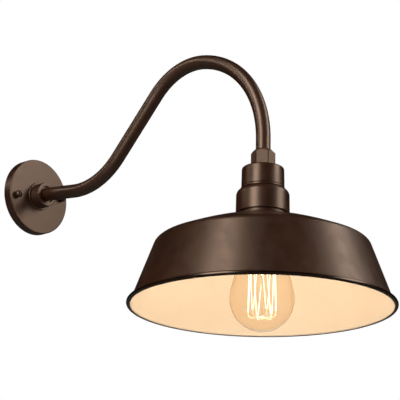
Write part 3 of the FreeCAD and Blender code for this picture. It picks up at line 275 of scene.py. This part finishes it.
def metal(name, tarnish, colour, rough):
    """Plain metal with cloudy tarnish and fine scratches."""
    s = Shader(name, Metallic=1.0)
    s.set("Base Color", s.ramp(s.noise(120.0, 5.0), (0.35, tarnish), (0.6, colour)))
    s.set("Roughness", s.span(s.noise(360.0), rough - 0.06, rough + 0.1))
    s.set("Normal", s.bump(s.noise(1600.0, 2.0), 0.05, 0.4))
    return s


def plastic(name, dark, pale, rough, scale=200.0, depth=0.06):
    """Moulded or extruded plastic, rubber, foam or glaze, by its colours, gloss and grain."""
    s = Shader(name)
    s.set("Base Color", s.ramp(s.noise(scale), (0.35, dark), (0.65, pale)))
    s.set("Roughness", s.span(s.noise(scale * 2, 3.0), rough - 0.05, rough + 0.08))
    s.set("Normal", s.bump(s.noise(900.0, 3.0), depth, 0.5))
    return s


def glass(name, colour, waves, density):
    """Clear glass that lets light straight through, browner where it's seen through more of it."""
    s = Shader(name, Transmission_Weight=1.0, Roughness=0.0, IOR=1.035, Base_Color=colour)
    s.set("Normal", s.bump(s.noise(waves, 2.0), 0.4, 0.25))
    clear = s.node("BsdfTransparent")
    clear.inputs["Color"].default_value = colour
    surface = s.mix(s.either_ray("Shadow", "Diffuse"), s.bsdf.outputs[0], clear.outputs[0])
    s.link(surface, s.out.inputs["Surface"])
    inside = s.node("VolumeAbsorption")
    inside.inputs["Color"].default_value = THICK_GLASS
    inside.inputs["Density"].default_value = density
    s.link(inside.outputs[0], s.out.inputs["Volume"])
    return s


def glowing(name, strength, cool, hot):
    """Wire at white heat, or a wire beside it given a painted glow, uneven along its length."""
    s = Shader(name, Base_Color=srgb(120, 100, 80), Roughness=0.5, Emission_Strength=strength)
    s.set("Emission Color", s.ramp(s.noise(90.0, 2.0), (0.3, cool), (0.7, hot)))
    return s


turned_wall = bronze("bronze_turned_wall", WALL_AXIS).material
turned_head = bronze("bronze_turned_head", HEAD_AXIS).material
spun = bronze("bronze_spun_shade", HEAD_AXIS, rough=0.4).material
# Painted shade: the rolled bead's outer underside gets this near-black bronze in place of the shade that
# falls there.
bead_painted_shade = bronze("bronze_bead_paint", HEAD_AXIS, rough=0.2, ior=1.8, grain=0.1, tones=BEAD_SHADE_TONES).material
cream = enamel().material
brass = metal("brass", srgb(150, 116, 60), srgb(206, 170, 96), 0.3).material
glow = glowing("filament_glow", 5.0, srgb(255, 226, 178), srgb(255, 240, 212)).material

NODE_FINISHES = {
    "canopy": turned_wall,
    "collar_washer": turned_wall,
    "cap_nuts": bronze("bronze_paint").material,
    "gooseneck_arm": bronze("bronze_tube_paint", rough=0.39, ior=2.15, grain=0, uneven=0.01).material,
    "hex_coupling": cast_hexagon("hex_coupling").material,
    "upper_cup": turned_head,
    "trim_ring": turned_head,
}
SLOT_FINISHES = {
    "foam": plastic("foam", srgb(34, 34, 36), srgb(50, 50, 52), 0.8, scale=500.0, depth=0.3),
    "zinc_steel": metal("zinc", srgb(120, 122, 126), srgb(170, 172, 174), 0.34),
    "green_steel": metal("steel_green", srgb(26, 82, 40), srgb(44, 112, 58), 0.38),
    "black_steel": metal("steel_black", srgb(24, 24, 26), srgb(42, 42, 44), 0.42),
    "tinned_copper": metal("tinned_copper", srgb(150, 132, 112), srgb(188, 180, 168), 0.36),
    "connector_plastic": plastic("nut_plastic", srgb(196, 92, 34), srgb(210, 106, 44), 0.42),
    "porcelain": plastic("porcelain_glaze", srgb(232, 228, 218), srgb(242, 239, 231), 0.24, scale=60.0),
    "black_insulation": plastic("black_jacket", srgb(20, 20, 21), srgb(32, 32, 33), 0.46),
    "white_insulation": plastic("white_jacket", srgb(214, 212, 204), srgb(228, 226, 220), 0.46),
    "green_insulation": plastic("green_jacket", srgb(26, 92, 44), srgb(34, 108, 54), 0.46),
    "solder": metal("solder", srgb(128, 128, 126), srgb(176, 176, 172), 0.4),
    "black_glass": plastic("black_glass", srgb(12, 12, 14), srgb(24, 24, 28), 0.16, scale=80.0),
    "amber_glass": glass("bulb_glass", srgb(254, 251, 246), waves=22.0, density=105.0),
    "clear_glass": glass("stem_glass", srgb(252, 252, 250), waves=60.0, density=8.0),
    # Painted glow: the hook wires shine as if lit, though they give no real light of their own.
    "support_wire": glowing("hook_wire_painted_glow", 1.25, srgb(255, 222, 172), srgb(255, 236, 200)),
}
SLOT_FINISHES = {slot: shader.material for slot, shader in SLOT_FINISHES.items()}
SLOT_FINISHES["brass"] = brass

for name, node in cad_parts.items():
    for holder in node.material_slots:
        slot = holder.material.name.split(".")[0]
        finish = NODE_FINISHES.get(name) or SLOT_FINISHES.get(slot)
        if finish is not None:
            holder.material = finish


# ---------------------------------------------------------------- mesh helpers
def outline(corners, steps):
    """Points along an open run of (radius, height[, corner radius]) corners, with tangent arcs."""
    points = [Vector(corner[:2]) for corner in corners]
    run = [points[0]]
    for i in range(1, len(points) - 1):
        radius = corners[i][2] if len(corners[i]) > 2 else 0.0
        before, here, after = points[i - 1], points[i], points[i + 1]
        back, ahead = (before - here).normalized(), (after - here).normalized()
        angle = back.angle(ahead)
        if radius <= 0 or math.pi - angle < 1e-5:
            run.append(here)
            continue
        reach = radius / math.tan(angle / 2)
        centre = here + (back + ahead).normalized() * (radius / math.sin(angle / 2))
        start, end = here + back * reach - centre, here + ahead * reach - centre
        sweep = start.angle(end)
        turn = math.copysign(sweep, start.x * end.y - start.y * end.x)
        count = max(3, int(steps * (1 + sweep)))
        for k in range(count + 1):
            run.append(centre + Matrix.Rotation(turn * k / count, 2) @ start)
    run.append(points[-1])
    return run


def aside(run, distance):
    """The run moved to its right by distance."""
    out = []
    for i, point in enumerate(run):
        before, after = run[max(i - 1, 0)], run[min(i + 1, len(run) - 1)]
        along = (after - before).normalized()
        out.append(point + Vector((along.y, -along.x)) * distance)
    return out


def mesh_object(name, vertices, faces, paints=None, sharp=40.0):
    """A smooth mesh with faces turned outwards; edges over the sharp angle, in degrees, stay hard."""
    data = bpy.data.meshes.new(name)
    data.from_pydata(vertices, [], faces)
    data.validate()
    shape = bmesh.new()
    shape.from_mesh(data)
    bmesh.ops.recalc_face_normals(shape, faces=shape.faces)
    shape.to_mesh(data)
    shape.free()
    data.polygons.foreach_set("use_smooth", [True] * len(data.polygons))
    if paints:
        data.polygons.foreach_set("material_index", paints)
    data.update()
    data.set_sharp_from_angle(angle=math.radians(sharp))
    made = bpy.data.objects.new(name, data)
    bpy.context.scene.collection.objects.link(made)
    return made


def revolve(name, run, centre, segments, marks=None, sharp=40.0):
    """A closed run, in millimetres, spun about a vertical axis; marks give its spans their materials."""
    vertices, faces, paints = [], [], []
    for point in run:
        for k in range(segments):
            a = 2 * math.pi * k / segments
            offset = Vector((point.x * math.cos(a), point.x * math.sin(a), point.y))
            vertices.append(centre + offset * MM)
    for i in range(len(run)):
        j = (i + 1) % len(run)
        for k in range(segments):
            m = (k + 1) % segments
            faces.append((i * segments + k, j * segments + k, j * segments + m, i * segments + m))
            paints.append(marks[i] if marks else 0)
    return mesh_object(name, vertices, faces, paints, sharp)


def finish_piece(piece, body, slot, materials, *nodes):
    """Paint a piece and join it to its body, in the place of the nodes that it replaces."""
    for material in materials:
        piece.data.materials.append(material)
    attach(piece, body)
    if nodes:
        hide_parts(*nodes)


# ---------------------------------------------------------------- shade
SHADE_SHEET = 1.0
SHADE_HANG = 0.04  # how far it hangs below the solid shade, clear of its gasket
FLANGE_RADIUS, FLANGE_CORNER = 24.0, 1.6
NECK_RADIUS, NECK_HEIGHT, NECK_FLARE = 32.7, 11.4, 4.5
INNER_SLOPE, OUTER_SLOPE = 15.0, 22.0  # of the crown beside neck and shoulder, degrees below level
BREAK_RADIUS, CROWN_RADIUS = 87.0, 620.0  # where the slopes meet, and the curve between them
SHOULDER_RADIUS, SHOULDER_CORNER = 142.3, 12.0
BEAD_RADIUS, BEAD_GRIP = 3.0, 1.3  # the skirt's face goes into the bead by its grip
ROLL_STEPS = 28
OUTSIDE, INSIDE, BEAD = 0, 1, 2  # the shade's materials, by their place in its list; BEAD is a painted shade
BEAD_FROM, BEAD_TO, ENAMEL_FROM = 20.0, -97.0, -142.0  # degrees round the bead where the paint changes; between the first two, on the bead's outer side and underside, a near-black bronze paints the shade there


def make_shade():
    """Spun sheet drawn from its flange to the rolled bead, bronze outside and cream inside, with painted
    shade in near-black bronze on the bead's outer underside.
    """
    foot, top = (height - SHADE_HANG for height in heights("shade"))
    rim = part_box("shade")[1].x / MM
    bead = Vector((rim - BEAD_RADIUS, foot + BEAD_RADIUS))
    neck_foot = top - NECK_HEIGHT
    slope_break = neck_foot - (BREAK_RADIUS - NECK_RADIUS) * math.tan(math.radians(INNER_SLOPE))
    shoulder = slope_break - (SHOULDER_RADIUS - BREAK_RADIUS) * math.tan(math.radians(OUTER_SLOPE))
    corners = [
        (FLANGE_RADIUS, top),
        (NECK_RADIUS, top, FLANGE_CORNER),
        (NECK_RADIUS, neck_foot, NECK_FLARE),
        (BREAK_RADIUS, slope_break, CROWN_RADIUS),
        (SHOULDER_RADIUS, shoulder, SHOULDER_CORNER),
        (bead.x - BEAD_RADIUS + BEAD_GRIP, bead.y),
    ]

    def cut(points):
        """The run down to where it meets the bead, and the angle of that place round the bead."""
        kept = list(points)
        while (kept[-1] - bead).length < BEAD_RADIUS:
            last = kept.pop()
        outside, within = kept[-1], last
        for _ in range(40):
            middle = (outside + within) / 2
            if (middle - bead).length < BEAD_RADIUS:
                within = middle
            else:
                outside = middle
        kept.append(outside)
        start = outside - bead
        return kept, math.atan2(start.y, start.x)

    face = outline(corners, 10)
    outer, from_angle = cut(face)
    inner, to_angle = cut(aside(face, SHADE_SHEET))
    sweep = from_angle - to_angle + 2 * math.pi
    roll = []
    for k in range(1, ROLL_STEPS):
        a = from_angle - sweep * k / ROLL_STEPS
        roll.append(bead + Vector((math.cos(a), math.sin(a))) * BEAD_RADIUS)
    whole = outer + roll + inner[::-1]

    def spans_to(angle):
        """Spans of the whole outline before a place on the bead, by its angle in degrees."""
        return len(outer) - 1 + int((from_angle - math.radians(angle)) / sweep * ROLL_STEPS)

    # The bead's outer side and underside take the painted shade; its top and inner side keep the bronze.
    first, second, third = spans_to(BEAD_FROM), spans_to(BEAD_TO), spans_to(ENAMEL_FROM)
    marks = [OUTSIDE] * first + [BEAD] * (second - first) + [OUTSIDE] * (third - second)
    marks += [INSIDE] * (len(whole) - third - 1) + [OUTSIDE]
    piece = revolve("shade_spun", whole, HEAD, 256, marks)
    finish_piece(piece, "fixture", "shade_finish", [spun, cream, bead_painted_shade], "shade")


make_shade()


# ---------------------------------------------------------------- collar
COLLAR_BORE = 10.1
COLLAR_FOOT_EDGE, COLLAR_END_EDGE, COLLAR_LIP = 0.5, 1.2, 0.4
MOUTH_RADIUS, MOUTH_FLOOR, MOUTH_DEPTH = 12.7, 12.1, 3.6
GROOVE_COUNT, GROOVE_DEPTH, GROOVE_HALF, GROOVE_MARGIN = 6, 0.6, 0.6, 1.7


def make_collar():
    """Turned hub with fine grooves cut round its barrel, in the collar's own place."""
    low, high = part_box("collar")
    foot, end = -high.y / MM, -low.y / MM
    outer = (high.z - low.z) / 2 / MM
    step = (end - foot - 2 * GROOVE_MARGIN) / (GROOVE_COUNT - 1)
    corners = [(COLLAR_BORE, foot), (outer, foot, COLLAR_FOOT_EDGE)]
    for k in range(GROOVE_COUNT):
        y = foot + GROOVE_MARGIN + k * step
        corners += [(outer, y - GROOVE_HALF), (outer - GROOVE_DEPTH, y), (outer, y + GROOVE_HALF)]
    corners += [
        (outer, end, COLLAR_END_EDGE),
        (MOUTH_RADIUS, end, COLLAR_LIP),
        (MOUTH_FLOOR, end - MOUTH_DEPTH),
        (COLLAR_BORE, end - MOUTH_DEPTH),
    ]
    piece = revolve("collar_hub", outline(corners, 6), Vector((0, 0, 0)), 160)
    piece.data.transform(Matrix.Rotation(math.radians(90), 4, "X"))
    finish_piece(piece, "fixture", "bronze_finish", [turned_wall], "collar")


make_collar()


# ---------------------------------------------------------------- lower cup
SPIGOT_RADIUS, SPIGOT_WALL = 25.95, 2.4
CUP_BORE, CUP_ROOF, CUP_SHOULDER = 33.1, 2.4, 9.5
CUP_DRAFT = 0.5  # how much the cup widens from shoulder to foot
CUP_CHAMFER, CUP_EDGE = 0.7, 0.3
SEAM = 0.45  # last stretch of the outline, which closes it
BOSS_COUNT, BOSS_CIRCLE, BOSS_RADIUS, BOSS_EDGE = 3, 27.0, 3.2, 0.4
BOSS_BORE, BOSS_HOLE = 1.55, 7.8
AXIS_GAP = 0.02  # radius left open at a boss's axis, so that no face collapses
WEB_START, WEB_END, WEB_HALF, WEB_DROP = 30.0, 33.3, 1.2, 3.8
BOX_FACES = [(0, 3, 2, 1), (4, 5, 6, 7), (0, 1, 5, 4), (1, 2, 6, 5), (2, 3, 7, 6), (3, 0, 4, 7)]


def make_cup_wall(ledge, roof):
    """The cup itself: spigot, round shoulder, tapered wall and open foot."""
    foot, top = heights("lower_cup")
    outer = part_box("lower_cup")[1].x / MM
    bore = SPIGOT_RADIUS - SPIGOT_WALL
    corners = [
        (bore, roof),
        (bore, top),
        (SPIGOT_RADIUS, top),
        (SPIGOT_RADIUS, ledge),
        (outer - CUP_DRAFT, ledge, CUP_SHOULDER),
        (outer, foot + CUP_CHAMFER, CUP_EDGE),
        (outer - CUP_CHAMFER, foot, CUP_EDGE),
        (CUP_BORE, foot),
        (CUP_BORE, roof, CUP_SHOULDER - CUP_ROOF),
        (bore + SEAM, roof),
    ]
    piece = revolve("lower_cup_wall", outline(corners, 12), HEAD, 200)
    finish_piece(piece, "fixture", "bronze_finish", [turned_head], "lower_cup")


def make_boss(number, roof):
    """Drilled boss for a screw of the shade, and the web that ties it to the cup's wall."""
    a = math.radians(90 + number * 360 / BOSS_COUNT)
    out, side = Vector((math.cos(a), math.sin(a), 0)), Vector((-math.sin(a), math.cos(a), 0))
    foot = heights("shade_gasket")[1]
    corners = [
        (BOSS_BORE, foot),
        (BOSS_RADIUS, foot, BOSS_EDGE),
        (BOSS_RADIUS, roof),
        (AXIS_GAP, roof),
        (AXIS_GAP, foot + BOSS_HOLE),
        (BOSS_BORE, foot + BOSS_HOLE),
    ]
    centre = HEAD + out * BOSS_CIRCLE * MM
    piece = revolve("lower_cup_boss_%d" % number, outline(corners, 5), centre, 40)
    finish_piece(piece, "fixture", "bronze_finish", [turned_head])
    spots = []
    for height in (foot, roof - WEB_DROP):
        for along, across in (
            (WEB_START, -WEB_HALF), (WEB_END, -WEB_HALF), (WEB_END, WEB_HALF), (WEB_START, WEB_HALF)
        ):
            spots.append(HEAD + (out * along + side * across + Vector((0, 0, height))) * MM)
    web = mesh_object("lower_cup_web_%d" % number, spots, BOX_FACES)
    finish_piece(web, "fixture", "bronze_finish", [turned_head])


def make_lower_cup():
    """Cast cup under the trim ring, with three screw bosses."""
    ledge = heights("trim_ring")[0]
    roof = ledge - CUP_ROOF
    make_cup_wall(ledge, roof)
    for number in range(BOSS_COUNT):
        make_boss(number, roof)


make_lower_cup()


# ---------------------------------------------------------------- lamp cap, socket shell and filament
LAMP_PITCH = 3.629
THREAD_DEPTH, THREAD_FADE = 0.75, 1.2  # the thread fades out over this height at both ends
THREAD_SEGMENTS, ROWS_A_TURN = 72, 14
CAP_SHEET, CAP_BEVEL, CAP_ROOF, CAP_HOLE = 0.4, 1.2, 0.6, 6.5
BEVEL_ROUND, BEVEL_INSIDE = 0.8, 1.4
SHELL_SHEET = 0.38
CAGE_STRANDS, CAGE_TOP_RADIUS, CAGE_FOOT_RADIUS = 12, 16.5, 18.5
HOOK_SHARE = 0.12  # how far a strand ends to the side of its hook, as a share of a strand's spacing
STRAND_INSET, STRAND_BOW, STRAND_RADIUS, STRAND_STEPS = 0.2, 0.55, 0.22, 26


def rolled_sheet(radius, low, high, depth, sheet):
    """Vertices and faces of a tube of sheet about the lamp axis, with a rolled thread of some depth."""
    rows = int((high - low) / LAMP_PITCH * ROWS_A_TURN)
    count = (rows + 1) * THREAD_SEGMENTS
    vertices, faces = [], []
    for inset in (0.0, sheet):
        for i in range(rows + 1):
            z = low + (high - low) * i / rows
            fade = max(0.0, min(1.0, (z - low) / THREAD_FADE, (high - z) / THREAD_FADE))
            for k in range(THREAD_SEGMENTS):
                turn = k / THREAD_SEGMENTS
                wave = 0.5 - 0.5 * math.cos(2 * math.pi * (z / LAMP_PITCH - turn))
                r = radius - depth * wave * fade - inset
                a = 2 * math.pi * turn
                vertices.append((HEAD.x + r * MM * math.cos(a), HEAD.y + r * MM * math.sin(a), z * MM))
    for start in (0, count):
        for i in range(rows):
            below = start + i * THREAD_SEGMENTS
            above = below + THREAD_SEGMENTS
            for k in range(THREAD_SEGMENTS):
                m = (k + 1) % THREAD_SEGMENTS
                faces.append((below + k, below + m, above + m, above + k))
    for rim in (0, count - THREAD_SEGMENTS):
        for k in range(THREAD_SEGMENTS):
            m = (k + 1) % THREAD_SEGMENTS
            faces.append((rim + k, rim + m, rim + m + count, rim + k + count))
    return vertices, faces


def make_cap():
    """Lamp cap with its rolled thread, and its roof round the black glass."""
    low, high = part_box("lamp_base")
    outer, foot, top = (high.x - low.x) / 2 / MM, low.z / MM, high.z / MM - CAP_BEVEL
    sheet = rolled_sheet(outer, foot, top, THREAD_DEPTH, CAP_SHEET)
    wall = mesh_object("lamp_cap_thread", *sheet, sharp=60.0)
    finish_piece(wall, "lamp", "brass", [brass], "lamp_base")
    corners = [
        (outer, 0),
        (outer - CAP_BEVEL, CAP_BEVEL, BEVEL_ROUND),
        (CAP_HOLE, CAP_BEVEL),
        (CAP_HOLE, CAP_ROOF),
        (outer - BEVEL_INSIDE, CAP_ROOF),
    ]
    centre = Vector((HEAD.x, HEAD.y, top * MM))
    roof = revolve("lamp_cap_roof", outline(corners, 6), centre, 96, sharp=45.0)
    finish_piece(roof, "lamp", "brass", [brass])


def make_socket_shell():
    """Plain brass shell that the lamp cap turns in."""
    low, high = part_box("socket_shell")
    outer = (high.x - low.x) / 2 / MM - SHELL_SHEET
    tube = rolled_sheet(outer, low.z / MM, high.z / MM, 0.0, SHELL_SHEET)
    piece = mesh_object("socket_shell_thread", *tube, sharp=60.0)
    finish_piece(piece, "fixture", "brass", [brass], "socket_shell")


def cage_point(index, radius, height):
    """A place on the cage's circle, by its number among the strands' ends."""
    a = 2 * math.pi * index / CAGE_STRANDS
    return Vector((radius * math.cos(a), HEAD.y / MM + radius * math.sin(a), height))


def make_filament():
    """Strands that zigzag between the upper and the lower hooks, each bowed a little outwards."""
    low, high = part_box("lamp_filament")
    top, foot = high.z / MM - STRAND_INSET, low.z / MM + STRAND_INSET
    curve = bpy.data.curves.new("filament_route", "CURVE")
    curve.dimensions = "3D"
    curve.bevel_depth = STRAND_RADIUS * MM
    curve.bevel_resolution = 3
    for i in range(CAGE_STRANDS):
        rising = i % 2 == 0
        share = HOOK_SHARE if rising else -HOOK_SHARE
        upper = cage_point(i + rising - share, CAGE_TOP_RADIUS, top)
        lower = cage_point(i + 1 - rising + share, CAGE_FOOT_RADIUS, foot)
        start, end = (lower, upper) if rising else (upper, lower)
        spline = curve.splines.new("POLY")
        spline.points.add(STRAND_STEPS)
        for k, point in enumerate(spline.points):
            along = k / STRAND_STEPS
            place = start.lerp(end, along)
            out = Vector((place.x, place.y - HEAD.y / MM, 0)).normalized()
            place += out * STRAND_BOW * math.sin(math.pi * along)
            point.co = (*(place * MM), 1)
    holder = bpy.data.objects.new("filament_route", curve)
    bpy.context.scene.collection.objects.link(holder)
    bpy.context.view_layer.update()
    mesh = bpy.data.meshes.new_from_object(holder.evaluated_get(bpy.context.evaluated_depsgraph_get()))
    bpy.data.objects.remove(holder)
    mesh.materials.clear()
    piece = bpy.data.objects.new("filament_wire", mesh)
    bpy.context.scene.collection.objects.link(piece)
    finish_piece(piece, "lamp", "filament", [glow], "lamp_filament")


make_cap()
make_socket_shell()
make_filament()


# ---------------------------------------------------------------- floor, world and lights
FLOOR_SIZE, FLOOR_PLACE = 60.0, (0, -0.5, -3.2)
FLOOR_LIT, FLOOR_SEEN = srgb(120, 120, 120), srgb(238, 238, 237)  # to bounced light, and to the camera
FLOOR_LIFT = 0.5  # own light to the camera, so that the floor stays pale
STUDIO_COLOUR = (1.0, 0.9, 0.81)


def add_floor():
    """Plain paper floor, far below the wall light."""
    bpy.ops.mesh.primitive_plane_add(size=FLOOR_SIZE, location=FLOOR_PLACE)
    floor = bpy.context.object
    floor.name = "floor"
    s = Shader("floor_paper", Emission_Color=(1, 1, 1, 1))
    s.set("Roughness", s.span(s.noise(30.0, 3.0), 0.86, 0.94))
    seen = s.either_ray("Camera", "Transmission")
    colours = s.node("MixRGB")
    s.link(seen, colours.inputs["Fac"])
    colours.inputs["Color1"].default_value = FLOOR_LIT
    colours.inputs["Color2"].default_value = FLOOR_SEEN
    s.set("Base Color", colours.outputs[0])
    s.set("Emission Strength", s.math("MULTIPLY", seen, FLOOR_LIFT))
    floor.data.materials.append(s.material)


def add_world():
    """White to the camera and through glass, soft light on paint, and a dark room in reflections."""
    world = bpy.data.worlds.new("studio")
    bpy.context.scene.world = world
    world.use_nodes = True
    world.node_tree.nodes.clear()
    w = Nodes(world.node_tree)

    def background(colour, strength):
        made = w.node("Background")
        made.inputs["Color"].default_value = (*colour, 1)
        made.inputs["Strength"].default_value = strength
        return made.outputs[0]

    white = background((1.0, 1.0, 1.0), 1.0)
    soft = background((1.0, 0.985, 0.965), 0.4)
    room = background((1.0, 0.7, 0.5), 0.006)
    unseen = w.mix(w.node("LightPath").outputs["Is Glossy Ray"], soft, room)
    whole = w.mix(w.either_ray("Camera", "Transmission"), unseen, white)
    w.link(whole, w.node("OutputWorld").inputs["Surface"])


def add_light(name, kind, place, watts, colour=STUDIO_COLOUR, **settings):
    data = bpy.data.lights.new(name, kind)
    data.energy = watts
    data.color = colour
    for key, value in settings.items():
        setattr(data, key, value)
    light = bpy.data.objects.new(name, data)
    bpy.context.scene.collection.objects.link(light)
    light.location = place
    return light


def aim(light, target, lean=0.0):
    """Point a light at a target, leaning it about that line by some degrees, and hide its face."""
    line = Vector(target) - light.location
    turn = line.to_track_quat("-Z", "Y").to_matrix() @ Matrix.Rotation(math.radians(lean), 3, "Z")
    light.rotation_euler = turn.to_euler()
    light.visible_camera = False


def add_softbox(name, place, watts, size, lean):
    """A tall box of soft light, level with the part of the lamp axis that it faces."""
    width, height = size
    light = add_light(name, "AREA", place, watts, shape="RECTANGLE", size=width, size_y=height)
    aim(light, (0, HEAD.y, place[2]), lean)


def add_snoot():
    """A narrow spot from behind the wall's plane, for the highlight along the arm."""
    place, target, cone = (-0.79, 0.58, 0.7), (0, -0.21, 0.12), math.radians(14.5)
    light = add_light("snoot_arm", "SPOT", place, 24.0, spot_size=cone, spot_blend=0.8, shadow_soft_size=0.3)
    aim(light, target)


def add_glow():
    """The lit lamp's own warm light, which moves with the lamp."""
    place, colour = (0, HEAD.y, -0.236), (1.0, 0.91, 0.82)
    light = add_light("lamp_glow", "POINT", place, 0.69, colour, shadow_soft_size=0.018)
    light.visible_glossy = False
    light.visible_transmission = False
    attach(light, "lamp")


add_floor()
add_world()
add_softbox("softbox_left", (-2.2, -0.45, 1.5), watts=62.0, size=(1.0, 4.0), lean=9.0)
add_softbox("softbox_right", (1.5, -2.12, 1.4), watts=50.0, size=(1.0, 4.4), lean=-31.0)
add_snoot()
add_glow()

view = bpy.context.scene.view_settings
view.view_transform = "Standard"
